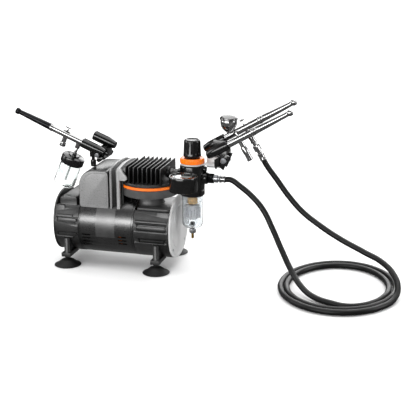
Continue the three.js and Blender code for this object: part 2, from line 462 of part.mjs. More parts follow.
// A: gravity cup on top with a lid. Local -X is the top on the right-hand holder.
const cupAt = 34, cupR = 11.6;
const cupGeo = (profile) => {
  const g = new THREE.LatheGeometry(profile.map(([r, z]) => new THREE.Vector2(r, z)), 28);
  // The cup stands upright in the world, so it leans back by the holder's own tilt here.
  return solid(g.rotateX(Math.PI / 2).rotateY(-(90 - RIGHT_TILT) * D).translate(-4, 0, cupAt));
};
const cup = cupGeo([[0, 0], [3, 0], [5.5, 2.4], [cupR - 1.6, 8], [cupR, 12], [cupR, 19], [cupR - 1, 19],
  [cupR - 1, 12], [cupR - 2.6, 9], [2.2, 3.4], [0, 3.4]]);
// The hose screws onto A's air valve.
const VALVE_A = 60, SEAT_A = LIP + 6 + GAP, FERRULE = 52;
const brushA = airbrush("airbrush_a", holdA, SEAT_A, 140, VALVE_A, 24, -1, M.chrome, {
  add: [cup, rod("x", 3.2, 23.5, FERRULE - 8, 0, VALVE_A, 10), rod("x", 5.4, 28, 37, 0, VALVE_A, 6),
    rod("x", 4.6, FERRULE - 11, FERRULE, 0, VALVE_A, 12)],
});
piece("airbrush_a_lid", cupGeo([[0, 19.3], [cupR + 0.2, 19.3], [cupR + 0.2, 21], [cupR - 1.6, 24.2], [5, 26],
  [0, 26.4]]), M.chrome, brushA);
// B: nothing is screwed to its air valve.
airbrush("airbrush_b", holdB, LIP + 4 + GAP, 129, 45.5, 33, -1, M.chrome);
// C: a bottle hangs below it on a stem. Local +X is the top on the left-hand holder.
const stemAt = 31.5, capX = -24; // the bottle hangs just past the socket's end
const brushC = airbrush("airbrush_c", holdC, LIP + 6 + GAP, 134, 53, 18, 1, M.plastic,
  { add: [rod("x", 3.6, -11, 0, 0, stemAt, 16)] });
const jarBar = (profile, sides = 26) => {
  const g = new THREE.LatheGeometry(profile.map(([r, z]) => new THREE.Vector2(r, z)), sides);
  return solid(g.rotateZ(Math.PI / 2).translate(capX, 0, stemAt));
};
// Profiles of the bottle run down from the cap's top.
let jarCap = jarBar([[0, -2], [8, -2], [8, 0], [16.2, 0.6], [16.6, 2], [16.6, 11.5], [15, 11.5], [15, 2.6], [0, 2.6]]);
jarCap = join(jarCap, rod("x", 2.2, capX - 2, -11.3, 0, stemAt, 12), rod("x", 1.4, capX - 40, capX, 0, stemAt, 10));
piece("airbrush_c_cap", jarCap, M.plastic, brushC);
piece("airbrush_c_jar", jarBar([[10.5, 3.2], [14, 3.2], [14, 11], [14.6, 13], [15.4, 16], [15.4, 43], [13.5, 45.5], [0, 45.5],
  [0, 43.8], [12.6, 43.8], [13.7, 42], [13.7, 17], [12, 13], [10.5, 9], [10.5, 3.2]]), M.clear, brushC);

// ---- Air hose, lying on the floor: in the frame of the whole object ----
const COIL_X = 275.5, COIL_Y = -43, COIL_R = 77, COIL_LONG = 1.17; // the loop is longer front to back
const coilProfile = (o) => [[COIL_R - 6.5 - o, 0.1], [COIL_R + 6.5 + o, 0.1], [COIL_R + 6.5 + o, 8], [COIL_R + 3, 12 + o],
  [COIL_R - 3, 12 + o], [COIL_R - 6.5 - o, 8], [COIL_R - 6.5 - o, 0.1]];
const ring = (o, sides) => {
  const g = new THREE.LatheGeometry(coilProfile(o).map(([r, z]) => new THREE.Vector2(r, z)), sides);
  return solid(g.rotateX(Math.PI / 2).scale(1, COIL_LONG, 1).translate(COIL_X, COIL_Y, 0));
};
piece("hose_coil", ring(0, 40), M.plastic, group);
const startA = new THREE.Vector3(FERRULE + GAP, 0, SEAT_A + VALVE_A).applyAxisAngle(new THREE.Vector3(0, 1, 0),
  (90 - RIGHT_TILT) * D).add(holdA.position).add(machine.position);
const fromRegulator = [[HOSE_X - ORIGIN_X + 2 * GAP, 0, OUT_Z], [112, 0, OUT_Z], [125, -2, 123], [144, -6, 110], [161, -12, 94],
  [176, -20, 71], [191, -33, 48], [210, -53, 24], [229, -77, 9], [252, -96, 4.4], [276, -109, 4.4], [297, -124, 4.4]];
const fromBrush = [startA.toArray(), [startA.x + 4, 22, startA.z - 7], [172.5, 21, 129.8], [191.3, 18, 106.8],
  [211.7, 14, 87.3], [236.9, 8, 71.6], [265, 0, 58], [301, -11, 44.9], [327.5, -22, 36.2], [344.8, -38, 26.3],
  [353, -58, 16], [352, -70, 9]];
for (const [name, points, steps] of [["hose_regulator", fromRegulator, 20], ["hose_airbrush", fromBrush, 22]]) {
  const path = new THREE.CatmullRomCurve3(points.map((p) => new THREE.Vector3(...p)));
  const round = new THREE.Shape(Array.from({ length: 8 }, (_, i) =>
    new THREE.Vector2(HOSE_R * Math.cos(i * 45 * D), HOSE_R * Math.sin(i * 45 * D))));
  const tube = new THREE.ExtrudeGeometry(round, { steps, extrudePath: path, bevelEnabled: false });
  piece(name, cut(solid(tube), ring(GAP, 40)), M.plastic, group);
}

export default group;
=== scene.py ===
# Airbrush compressor: motor, pump head, regulator, twin holders, three airbrushes and an air hose. Metres.
from math import cos, pi, radians, sin
import bpy
from mathutils import Matrix, Vector


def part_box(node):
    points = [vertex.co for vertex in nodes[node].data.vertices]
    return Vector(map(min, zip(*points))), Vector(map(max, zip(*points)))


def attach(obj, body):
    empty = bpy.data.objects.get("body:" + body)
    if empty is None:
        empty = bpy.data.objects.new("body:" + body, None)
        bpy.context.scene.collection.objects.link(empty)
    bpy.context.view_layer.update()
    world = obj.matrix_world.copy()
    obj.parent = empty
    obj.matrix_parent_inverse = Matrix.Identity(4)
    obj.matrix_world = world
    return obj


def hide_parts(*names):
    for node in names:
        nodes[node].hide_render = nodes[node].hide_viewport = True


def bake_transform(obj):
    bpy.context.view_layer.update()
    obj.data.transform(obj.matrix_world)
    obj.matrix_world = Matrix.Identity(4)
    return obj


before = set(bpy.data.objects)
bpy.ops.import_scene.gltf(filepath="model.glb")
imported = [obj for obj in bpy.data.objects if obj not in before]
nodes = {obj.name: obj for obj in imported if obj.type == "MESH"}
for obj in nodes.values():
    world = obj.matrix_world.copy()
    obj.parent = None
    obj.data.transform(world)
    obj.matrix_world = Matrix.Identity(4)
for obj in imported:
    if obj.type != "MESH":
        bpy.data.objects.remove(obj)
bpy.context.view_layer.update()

mm = 0.001  # sizes below are in millimetres, and the tools turn them to metres

# small tools


def deselectAll():
    bpy.ops.object.select_all(action="DESELECT")


def takeUp(piece):
    deselectAll()
    piece.select_set(True)
    bpy.context.view_layer.objects.active = piece


def pick(piece, kind, test):
    # selects the faces, edges or corners whose middle (and normal, on faces) passes the test, and leaves edit mode on
    takeUp(piece)
    bpy.ops.object.mode_set(mode="EDIT")
    bpy.ops.mesh.select_mode(type=kind)
    bpy.ops.mesh.select_all(action="DESELECT")
    bpy.ops.object.mode_set(mode="OBJECT")
    mesh = piece.data
    if kind == "FACE":
        for face in mesh.polygons:
            face.select = bool(test(face.center, face.normal))
    elif kind == "EDGE":
        for edge in mesh.edges:
            a, b = (mesh.vertices[i].co for i in edge.vertices)
            edge.select = bool(test((a + b) / 2, (b - a).normalized()))
    else:
        for corner in mesh.vertices:
            corner.select = bool(test(corner.co, None))
    bpy.ops.object.mode_set(mode="EDIT")


def done():
    # leaves edit mode
    bpy.ops.object.mode_set(mode="OBJECT")


def faceOut(piece):
    # merges doubled corners and turns every face outwards
    takeUp(piece)
    bpy.ops.object.mode_set(mode="EDIT")
    bpy.ops.mesh.select_mode(type="VERT")
    bpy.ops.mesh.select_all(action="SELECT")
    bpy.ops.mesh.remove_doubles(threshold=0.002 * mm)
    bpy.ops.mesh.normals_make_consistent(inside=False)
    done()
    return piece


def settle(piece, name, place=None):
    # names the piece and puts its place in its mesh
    piece.name = piece.data.name = name
    if place is not None:
        piece.matrix_world = place @ piece.matrix_world
    takeUp(piece)
    bpy.ops.object.transform_apply(location=True, rotation=True, scale=True)
    if place is not None and place.determinant() < 0:
        faceOut(piece)
    return piece


def smooth(piece, angle=32):
    takeUp(piece)
    bpy.ops.object.shade_smooth_by_angle(angle=radians(angle))
    return piece


def rounded(piece, width, segments=2, angle=35, shade=32):
    # a bevel on the sharp edges, as a cast or moulded part has
    takeUp(piece)
    bevel = piece.modifiers.new("edges", "BEVEL")
    bevel.width = width * mm
    bevel.segments = segments
    bevel.limit_method = "ANGLE"
    bevel.angle_limit = radians(angle)
    bpy.ops.object.modifier_apply(modifier=bevel.name)
    return smooth(piece, shade)


def cutBy(piece, *tools, how="DIFFERENCE"):
    # cuts the piece by each tool, or joins or crosses it with them; the tools are used up
    for tool in tools:
        takeUp(piece)
        knife = piece.modifiers.new("cut", "BOOLEAN")
        knife.operation = how
        knife.solver = "EXACT"
        knife.object = tool
        bpy.ops.object.modifier_apply(modifier=knife.name)
        mesh = tool.data
        bpy.data.objects.remove(tool)
        bpy.data.meshes.remove(mesh)
    return piece


def joined(pieces, name):
    takeUp(pieces[0])
    for other in pieces:
        other.select_set(True)
    bpy.ops.object.join()
    whole = bpy.context.view_layer.objects.active
    whole.name = whole.data.name = name
    return whole


def copied(piece, name, place):
    # a copy with its own mesh, moved by the matrix
    takeUp(piece)
    bpy.ops.object.duplicate()
    return settle(bpy.context.object, name, place)


def startPoint(first):
    # a plane merged to one corner, ready to be extruded
    deselectAll()
    bpy.ops.mesh.primitive_plane_add(size=0.002)
    bpy.ops.object.mode_set(mode="EDIT")
    bpy.ops.mesh.select_mode(type="VERT")
    bpy.ops.mesh.select_all(action="SELECT")
    bpy.ops.mesh.merge(type="CENTER")
    bpy.ops.transform.translate(value=first)


def turned(name, profile, place=None, steps=64, closed=False):
    # spins a profile of (radius, height) about Z; a closed profile makes a ring
    points = [Vector((r, 0, z)) * mm for r, z in profile]
    if closed:
        points.append(points[0])
    startPoint(points[0])
    for a, b in zip(points, points[1:]):
        bpy.ops.mesh.extrude_region_move(TRANSFORM_OT_translate={"value": b - a})
    bpy.ops.mesh.select_all(action="SELECT")
    bpy.ops.mesh.spin(steps=steps, angle=2 * pi, center=(0, 0, 0), axis=(0, 0, 1))
    done()
    return smooth(settle(faceOut(bpy.context.object), name, place))


def pulled(name, outline, height, place=None, base=0):
    # draws an outline on XY, fills it and pulls it up Z
    points = [Vector((x, y, base)) * mm for x, y in outline]
    startPoint(points[0])
    for a, b in zip(points, points[1:]):
        bpy.ops.mesh.extrude_region_move(TRANSFORM_OT_translate={"value": b - a})
    bpy.ops.mesh.select_all(action="SELECT")
    bpy.ops.mesh.edge_face_add()
    bpy.ops.mesh.extrude_region_move(TRANSFORM_OT_translate={"value": (0, 0, height * mm)})
    done()
    return settle(faceOut(bpy.context.object), name, place)


def block(name, low, high, place=None):
    # a box between two corners, to be cut and rounded
    deselectAll()
    low, high = Vector(low) * mm, Vector(high) * mm
    bpy.ops.mesh.primitive_cube_add(size=1, location=(low + high) / 2)
    bpy.context.object.scale = high - low
    return settle(bpy.context.object, name, place)


def arc(cx, cy, r, start, end, steps):
    # points on part of a circle, from one angle in degrees to another
    return [(cx + r * cos(radians(start + (end - start) * i / steps)),
             cy + r * sin(radians(start + (end - start) * i / steps))) for i in range(steps + 1)]


def refined(node, name, width=0.3):
    # a merged copy of a node's own mesh, with its edges eased and its round faces smoothed
    takeUp(nodes[node])
    bpy.ops.object.duplicate()
    piece = bpy.context.object
    piece.parent = None
    for key in list(piece.keys()):
        del piece[key]
    bpy.ops.object.mode_set(mode="EDIT")
    bpy.ops.mesh.select_mode(type="VERT")
    bpy.ops.mesh.select_all(action="SELECT")
    bpy.ops.mesh.remove_doubles(threshold=0.01 * mm)
    bpy.ops.mesh.dissolve_limited(angle_limit=radians(1))
    done()
    settle(piece, name)
    return rounded(piece, width, 2) if width else smooth(piece)


def roundRect(x0, y0, x1, y1, r, steps=5):
    # the outline of a rectangle with round corners
    return (arc(x1 - r, y1 - r, r, 0, 90, steps) + arc(x0 + r, y1 - r, r, 90, 180, steps)
            + arc(x0 + r, y0 + r, r, 180, 270, steps) + arc(x1 - r, y0 + r, r, 270, 360, steps))


def frameAt(origin, zWay, xWay=None):
    # a matrix that stands a piece at origin with its Z along zWay
    z = Vector(zWay).normalized()
    x = Vector(xWay) if xWay else (Vector((1, 0, 0)) if abs(z.x) < 0.9 else Vector((0, 1, 0)))
    x = (x - z * x.dot(z)).normalized()
    y = z.cross(x)
    turn = Matrix((x, y, z)).transposed().to_4x4()
    return Matrix.Translation(Vector(origin) * mm) @ turn


def along(x, y=0.0, z=57.0):
    # stands a piece with its Z along +X, from x on
    return frameAt((x, y, z), (1, 0, 0), (0, 0, -1))


def rod(name, radius, start, end, steps=32):
    # a plain bar between two points, to be cut with or joined on
    start, end = Vector(start), Vector(end)
    return turned(name, [(0, 0), (radius, 0), (radius, (end - start).length), (0, (end - start).length)],
                  frameAt(start, end - start), steps)


def span(node):
    # a node's lowest and highest corners in millimetres
    return [Vector(corner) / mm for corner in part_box(node)]


def shifted(x, y, z=0.0):
    # a matrix that only moves a piece, in millimetres
    return Matrix.Translation(Vector((x, y, z)) * mm)


def ringOf(piece, count, place=None, start=0.0):
    # copies of a piece in a ring round Z, put at the place; the first one goes
    ring = []
    for i in range(count):
        turn = Matrix.Rotation(2 * pi * (i + start) / count, 4, "Z")
        ring.append(copied(piece, piece.name, turn if place is None else place @ turn))
    bpy.data.objects.remove(piece)
    return ring


def hexagon(across, start):
    # the outline of a nut, by the width over its flats and the angle of its first corner
    r = across / 2 / cos(radians(30))
    return [(r * cos(radians(60 * i + start)), r * sin(radians(60 * i + start))) for i in range(6)]


sideOn = frameAt((0, 0, 0), (0, -1, 0), (1, 0, 0))  # outlines drawn on X and Z, pulled towards the front
endOn = frameAt((0, 0, 0), (1, 0, 0), (0, 1, 0))    # outlines drawn on Y and Z, pulled along the motor


# camera
shot = {"at": (0.4482, -1.3580, 0.5087), "tilt": 73.3, "turn": 15.2, "lens": 90.26}
deselectAll()
bpy.ops.object.camera_add(location=shot["at"], rotation=(radians(shot["tilt"]), 0, radians(shot["turn"])))
camera = bpy.context.object
camera.data.lens = shot["lens"]
camera.data.sensor_width = 36
camera.data.clip_end = 30
bpy.context.scene.camera = camera
print("camera set")

# finishes


def hexColour(text):
    # an sRGB hex value as linear colour
    parts = [int(text[i:i + 2], 16) / 255 for i in (1, 3, 5)]
    return tuple(c / 12.92 if c <= 0.04045 else ((c + 0.055) / 1.055) ** 2.4 for c in parts) + (1,)


def addNode(tree, kind, settings=None, links=None):
    # adds a node, sets its fields or sockets by name and links its inputs
    node = tree.nodes.new(kind)
    for key, value in (settings or {}).items():
        if hasattr(node, key):
            setattr(node, key, value)
        else:
            node.inputs[key].default_value = value
    for key, source in (links or {}).items():
        tree.links.new(source, node.inputs[key])
    return node


finishes = {}


def makeFinish(name, look):
    # two tones drift over the part, a finer pattern breaks up the gloss and stands up as relief
    material = bpy.data.materials.new(name)
    material.use_nodes = True
    tree = material.node_tree
    tree.nodes.clear()
    where = addNode(tree, "ShaderNodeTexCoord").outputs["Object"]
    stretch = addNode(tree, "ShaderNodeMapping", {"Scale": look.get("stretch", (1, 1, 1))}, {"Vector": where})
    drift = addNode(tree, "ShaderNodeTexNoise", {"Scale": 1 / look["driftMm"] * 1000, "Detail": 4.0},
                    {"Vector": where})
    grain = addNode(tree, "ShaderNodeTexNoise", {"Scale": 1 / look["grainMm"] * 1000, "Detail": 3.0},
                    {"Vector": stretch.outputs["Vector"]})
    tone = addNode(tree, "ShaderNodeValToRGB", links={"Fac": drift.outputs["Fac"]})
    tone.color_ramp.elements[0].position = 0.35
    tone.color_ramp.elements[0].color = hexColour(look["low"])
    tone.color_ramp.elements[1].position = 0.65
    tone.color_ramp.elements[1].color = hexColour(look["high"])
    speck = addNode(tree, "ShaderNodeValToRGB", links={"Fac": grain.outputs["Fac"]})
    speck.color_ramp.elements[0].position = 0.3
    speck.color_ramp.elements[0].color = (1 - look["speck"],) * 3 + (1,)
    speck.color_ramp.elements[1].position = 0.7
    speck.color_ramp.elements[1].color = (1, 1, 1, 1)
    colour = addNode(tree, "ShaderNodeMix", {"data_type": "RGBA", "blend_type": "MULTIPLY", "Factor": 1.0})
    tree.links.new(tone.outputs["Color"], colour.inputs["A"])
    tree.links.new(speck.outputs["Color"], colour.inputs["B"])
    rough = addNode(tree, "ShaderNodeMapRange", {"To Min": look["rough"][0], "To Max": look["rough"][1],
                                                 "From Min": 0.3, "From Max": 0.7}, {"Value": grain.outputs["Fac"]})
    relief = addNode(tree, "ShaderNodeBump", {"Strength": look["relief"], "Distance": look["reliefMm"] / 1000},
                     {"Height": grain.outputs["Fac"]})
    shader = addNode(tree, "ShaderNodeBsdfPrincipled", look.get("shader", {}),
                     {"Base Color": colour.outputs["Result"], "Roughness": rough.outputs["Result"],
                      "Normal": relief.outputs["Normal"]})
    addNode(tree, "ShaderNodeOutputMaterial", links={"Surface": shader.outputs["BSDF"]})
    finishes[name] = material


# satin metallic lacquer on the motor: near black, with a fine flake that softens the highlight
makeFinish("satinBlackLacquer", {"low": "#5c5c5c", "high": "#686868", "driftMm": 40, "grainMm": 1.1, "speck": 0.25,
                                 "rough": (0.26, 0.34), "reliefMm": 0.02, "relief": 0.15,
                                 "shader": {"Metallic": 1.0, "Coat Weight": 0.25, "Coat Roughness": 0.25}})
# sprayed lacquer over die casting: dark grey with a slight orange peel
makeFinish("castingLacquer", {"low": "#484848", "high": "#545454", "driftMm": 25, "grainMm": 1.6, "speck": 0.2,
                              "rough": (0.34, 0.48), "reliefMm": 0.08, "relief": 0.35,
                              "shader": {"Metallic": 0.85, "Coat Weight": 0.15, "Coat Roughness": 0.3}})
# sprayed black on the fins, worn a little brighter by its gloss
makeFinish("finLacquer", {"low": "#141414", "high": "#1c1c1c", "driftMm": 20, "grainMm": 1.2, "speck": 0.2,
                          "rough": (0.26, 0.38), "reliefMm": 0.05, "relief": 0.3,
                          "shader": {"Metallic": 0.3, "Coat Weight": 0.2, "Coat Roughness": 0.2}})
# grey cast iron and alloy of the pump, thinly painted: duller than the motor
makeFinish("castGrey", {"low": "#4e4e4e", "high": "#5a5a5a", "driftMm": 18, "grainMm": 1.3, "speck": 0.2,
                        "rough": (0.34, 0.46), "reliefMm": 0.05, "relief": 0.3, "shader": {"Metallic": 0.25}})
# light grey on the shroud's rim band and tab; on the band it is a painted reflection of the top light on its crown
makeFinish("rimPaintedReflectionGrey", {"low": "#9c9c9c", "high": "#a8a8a8", "driftMm": 18, "grainMm": 1.3, "speck": 0.1,
                          "rough": (0.3, 0.4), "reliefMm": 0.03, "relief": 0.25, "shader": {"Metallic": 0.2}})
# painted front light: a smooth mid grey, lighter than the cover's own dark lacquer, standing in for the front light on
# the cover's face and on the shroud's first band
makeFinish("paintedFrontLightGrey", {"low": "#8c8c8c", "high": "#969696", "driftMm": 30, "grainMm": 1.2, "speck": 0.15,
                               "rough": (0.26, 0.36), "reliefMm": 0.04, "relief": 0.25,
                               "shader": {"Metallic": 0.3, "Coat Weight": 0.3, "Coat Roughness": 0.2}})
# powder-coated sheet steel: light grey, faintly pebbled
makeFinish("powderCoatGrey", {"low": "#c2c2c2", "high": "#cccccc", "driftMm": 22, "grainMm": 0.9, "speck": 0.08,
                              "rough": (0.38, 0.5), "reliefMm": 0.04, "relief": 0.3, "shader": {"Metallic": 0.1}})
# turned or drawn aluminium: bright, with fine tool lines round it
makeFinish("machinedAluminium", {"low": "#b9bbbe", "high": "#cfd1d3", "driftMm": 12, "grainMm": 1.4, "speck": 0.12,
                                 "stretch": (1, 1, 6), "rough": (0.26, 0.4), "reliefMm": 0.02, "relief": 0.3,
                                 "shader": {"Metallic": 0.9}})
# silicone rubber gasket: saturated orange, dull skin
makeFinish("siliconeOrange", {"low": "#f46a08", "high": "#ff7c14", "driftMm": 14, "grainMm": 1.0, "speck": 0.06,
                              "rough": (0.42, 0.55), "reliefMm": 0.05, "relief": 0.35,
                              "shader": {"Subsurface Weight": 0.05, "Subsurface Scale": 0.002}})
# glossy moulded plastic ring in the same orange
makeFinish("mouldedOrange", {"low": "#ff7204", "high": "#ff820c", "driftMm": 12, "grainMm": 1.4, "speck": 0.05,
                             "rough": (0.22, 0.32), "reliefMm": 0.03, "relief": 0.2, "shader": {"IOR": 1.5}})
# red ink of the gauge's danger band
makeFinish("printedRed", {"low": "#d93a26", "high": "#e5482f", "driftMm": 6, "grainMm": 0.8, "speck": 0.05,
                          "rough": (0.4, 0.5), "reliefMm": 0.01, "relief": 0.2})
# unpainted moulding inside the bowl: cloudy, lets light through
makeFinish("milkyPolycarbonate", {"low": "#ececf0", "high": "#f6f6f8", "driftMm": 9, "grainMm": 2, "speck": 0.04,
                                  "rough": (0.25, 0.35), "reliefMm": 0.03, "relief": 0.2,
                                  "shader": {"Transmission Weight": 0.3, "IOR": 1.3}})
# moulded ABS, gloss black: a clean highlight with a very slight ripple
makeFinish("glossBlackAbs", {"low": "#080808", "high": "#0d0d0d", "driftMm": 18, "grainMm": 2.2, "speck": 0.1,
                             "rough": (0.14, 0.22), "reliefMm": 0.03, "relief": 0.2, "shader": {"IOR": 1.53}})
# glass-filled nylon, moulded with a fine spark-eroded texture
makeFinish("texturedNylon", {"low": "#141416", "high": "#1b1b1d", "driftMm": 16, "grainMm": 0.9, "speck": 0.15,
                             "rough": (0.36, 0.5), "reliefMm": 0.05, "relief": 0.35, "shader": {"IOR": 1.52}})
# chromium plate over brass: mirror with a trace of polish haze
makeFinish("chromePlate", {"low": "#a4a4a4", "high": "#b2b2b2", "driftMm": 15, "grainMm": 5, "speck": 0.04,
                           "rough": (0.12, 0.18), "reliefMm": 0.006, "relief": 0.08, "shader": {"Metallic": 1.0}})
# satin chromium on the cup's lid: greyer and softer than the bright plate
makeFinish("satinChrome", {"low": "#747474", "high": "#7e7e7e", "driftMm": 12, "grainMm": 3, "speck": 0.06,
                           "rough": (0.2, 0.28), "reliefMm": 0.006, "relief": 0.1, "shader": {"Metallic": 1.0}})
# bright zinc-plated steel on screws and nuts
makeFinish("zincSteel", {"low": "#a7a9ad", "high": "#c4c6c9", "driftMm": 6, "grainMm": 0.8, "speck": 0.15,
                         "rough": (0.22, 0.36), "reliefMm": 0.02, "relief": 0.3, "shader": {"Metallic": 1.0}})
# bare turned brass, slightly tarnished
makeFinish("turnedBrass", {"low": "#b08a45", "high": "#cfa95c", "driftMm": 5, "grainMm": 0.8, "speck": 0.15,
                           "rough": (0.2, 0.34), "reliefMm": 0.02, "relief": 0.3, "shader": {"Metallic": 1.0}})
# black anodised aluminium: deep satin black with a cool sheen
makeFinish("blackAnodised", {"low": "#0e0f11", "high": "#17181b", "driftMm": 14, "grainMm": 0.9, "speck": 0.15,
                             "rough": (0.22, 0.32), "reliefMm": 0.015, "relief": 0.2, "shader": {"Metallic": 0.7}})
# nitrile rubber on the feet: black with a grey bloom
makeFinish("nitrileRubber", {"low": "#070707", "high": "#0e0e0e", "driftMm": 9, "grainMm": 1.1, "speck": 0.2,
                             "rough": (0.45, 0.62), "reliefMm": 0.06, "relief": 0.4,
                             "shader": {"IOR": 1.5, "Specular IOR Level": 0.3}})
# sintered bronze filter element: sandy tan grains
makeFinish("sinteredBronze", {"low": "#d0a062", "high": "#ecc890", "driftMm": 6, "grainMm": 0.7, "speck": 0.35,
                              "rough": (0.5, 0.7), "reliefMm": 0.12, "relief": 0.6, "shader": {"Metallic": 0.2}})
# enamelled copper wire
makeFinish("enamelCopper", {"low": "#9c4f26", "high": "#c56f3a", "driftMm": 4, "grainMm": 0.6, "speck": 0.3,
                            "rough": (0.25, 0.4), "reliefMm": 0.1, "relief": 0.5, "shader": {"Metallic": 0.8}})
# matt film of a blank rating label; its shade lighter than the lacquer round it is a painted highlight of the front
# light's band across the motor
makeFinish("labelFilmPaintedHighlight", {"low": "#6c6c6c", "high": "#767676", "driftMm": 20, "grainMm": 1.6, "speck": 0.12,
                         "rough": (0.34, 0.42), "reliefMm": 0.01, "relief": 0.2, "shader": {"Metallic": 0.9}})
# printed card or tinplate dial, eggshell white
makeFinish("printedWhite", {"low": "#e8e8e6", "high": "#f4f4f2", "driftMm": 10, "grainMm": 0.8, "speck": 0.03,
                            "rough": (0.4, 0.5), "reliefMm": 0.01, "relief": 0.2})
# polycarbonate bowl: clear, faintly smoky, with a soft moulded surface
makeFinish("clearPolycarbonate", {"low": "#e6eaec", "high": "#f4f6f7", "driftMm": 14, "grainMm": 4, "speck": 0.02,
                                  "rough": (0.03, 0.07), "reliefMm": 0.05, "relief": 0.15,
                                  "shader": {"Transmission Weight": 1.0, "IOR": 1.45}})
# blown soda glass
makeFinish("clearGlass", {"low": "#eef3f2", "high": "#fafcfb", "driftMm": 14, "grainMm": 5, "speck": 0.01,
                          "rough": (0.01, 0.03), "reliefMm": 0.05, "relief": 0.15,
                          "shader": {"Transmission Weight": 1.0, "IOR": 1.45}})
# extruded PU air hose: black, with a slight sheen along it
makeFinish("hosePolyurethane", {"low": "#090909", "high": "#0f0f0f", "driftMm": 20, "grainMm": 1.5, "speck": 0.15,
                                "rough": (0.34, 0.44), "reliefMm": 0.03, "relief": 0.25,
                                "shader": {"IOR": 1.5, "Specular IOR Level": 0.25}})
print("finishes made:", len(finishes))


def dress(piece, finish, body=None, stands=()):
    # gives a piece its finish and says which body it rides on and which nodes it stands for
    piece.data.materials.clear()
    piece.data.materials.append(finishes[finish])
    if body:
        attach(piece, body)
    if stands:
        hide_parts(*stands)
    return piece


# air hose
hose = {
    "thick": 0.008,
    "fromRegulator": [(105.1, 0, 130), (112, 0, 130), (125, -2, 123), (144, -6, 110), (161, -12, 94), (176, -20, 71),
                      (191, -33, 48), (210, -53, 24), (229, -77, 11), (247, -93, 5.5)],
    "middle": (275.5, -43), "longer": 1.17, "lies": 4.25,
    # (angle from +X, radius) through the loop, seen from above and counter-clockwise
    "turns": [(270, 55), (286, 61), (302, 63.5), (320, 64), (340, 64), (360, 64), (380, 64.5), (400, 66), (420, 68.5),
              (440, 70.5), *((angle, 71.5) for angle in range(460, 621, 20)), (640, 71.6), (660, 71.8), (680, 72),
              (700, 72.3), (720, 72.8), (740, 74), (760, 75.8), (780, 77.6), (800, 79),
              *((angle, 79.6) for angle in range(820, 1021, 20)), (1040, 79.4)],
    "toBrush": [(351, -72, 7), (353, -58, 15), (344.8, -38, 26.3), (327.5, -22, 36.2), (301, -11, 44.9), (265, 0, 58),
                (236.9, 8, 71.6), (211.7, 14, 87.3), (191.3, 18, 106.8), (172.5, 21, 129.8), (157.9, 22, 148.4),
                (153.8, 22, 155.4)],
}


def hoseRoute():
    # from the outlet down to the floor, round the coil and up to the airbrush, in metres
    points = [Vector(p) / 1000 for p in hose["fromRegulator"]]
    cx, cy = hose["middle"]
    for angle, radius in hose["turns"]:
        a = radians(angle)
        points.append(Vector((cx + radius * cos(a), cy + radius * hose["longer"] * sin(a), hose["lies"])) / 1000)
    return points + [Vector(p) / 1000 for p in hose["toBrush"]]


def makeHose():
    # one smooth curve, made a tube, and the points along its middle
    deselectAll()
    bpy.ops.curve.primitive_bezier_curve_add()
    line = bpy.context.object
    route = hoseRoute()
    spline = line.data.splines[0]
    spline.bezier_points.add(len(route) - 2)
    for point, at in zip(spline.bezier_points, route):
        point.co = at
        point.handle_left_type = point.handle_right_type = "AUTO"
    line.data.dimensions = "3D"
    line.data.resolution_u = 8
    takeUp(line)
    bpy.ops.object.duplicate()
    thin = bpy.context.object
    bpy.ops.object.convert(target="MESH")
    centres = [v.co.copy() for v in thin.data.vertices]
    mesh = thin.data
    bpy.data.objects.remove(thin)
    bpy.data.meshes.remove(mesh)
    line.data.bevel_depth = hose["thick"] / 2
    line.data.bevel_resolution = 6
    line.data.use_fill_caps = True
    takeUp(line)
    bpy.ops.object.convert(target="MESH")
    tube = smooth(settle(bpy.context.object, "air_hose"), 60)
    return tube, centres


hoseTube, hoseCentres = makeHose()
hoseTube.data.materials.append(finishes["hosePolyurethane"])
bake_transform(hoseTube)
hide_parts("hose_regulator", "hose_coil", "hose_airbrush")

# floor and light
studio = {
    "floor": 24,
    "front": {"size": (2.8, 0.8), "at": (-0.7, -2.7, 0.76), "power": 62},
    "top": {"size": (8, 13), "at": (0, 2.4, 5), "power": 760},
    "left": {"size": (1.0, 1.3), "at": (-2.2, -0.4, 0.95), "power": 18},
    "right": {"size": (0.8, 1.2), "at": (2.3, 0.2, 0.95), "power": 20},
    "back": {"size": (2.4, 0.9), "at": (0.3, 2.6, 0.9), "power": 18},
}
deselectAll()
bpy.ops.mesh.primitive_plane_add(size=studio["floor"], location=(0, 0, -0.0002))
floor = settle(bpy.context.object, "studio_floor")
makeFinish("paperSweep", {"low": "#f2f2f2", "high": "#f6f6f6", "driftMm": 300, "grainMm": 4, "speck": 0.01,
                          "rough": (0.85, 0.95), "reliefMm": 0.02, "relief": 0.1})
floor.data.materials.append(finishes["paperSweep"])
floor.visible_glossy = False  # black gloss mirrors a dark room, as under a product tent


def softbox(name):
    box = studio[name]
    deselectAll()
    bpy.ops.object.light_add(type="AREA", location=box["at"])
    lamp = bpy.context.object
    lamp.name = "softbox_" + name
    lamp.data.shape = "RECTANGLE"
    lamp.data.size, lamp.data.size_y = box["size"]
    lamp.data.energy = box["power"]
    lamp.rotation_euler = (Vector((0, 0, 0.1)) - Vector(box["at"])).to_track_quat("-Z", "Y").to_euler()


for name in ("front", "top", "left", "right", "back"):
    softbox(name)
world = bpy.data.worlds.new("lightTent")
bpy.context.scene.world = world
world.use_nodes = True
world.node_tree.nodes["Background"].inputs["Color"].default_value = hexColour("#f2f2f2")
world.node_tree.nodes["Background"].inputs["Strength"].default_value = 0.2
bpy.context.scene.view_settings.view_transform = "Standard"
print("studio lit")


# motor
base = "base"
axisZ = 57     # height of the motor's shaft
airZ = 135     # height of the air line from the head to the regulator
pumpX = sum(corner.x for corner in span("head_gasket")) / 2
motor = {"radius": 45.7, "wall": 2.7, "slotLong": 13, "slotHigh": 2.2, "slotPitch": 5.4, "slotTop": 47,
         "slotRows": [(-88.5, 4), (-34.5, 3)], "bead": 0.5, "neckRoom": 19.5, "room": 46.3, "ends": (-145, 45)}


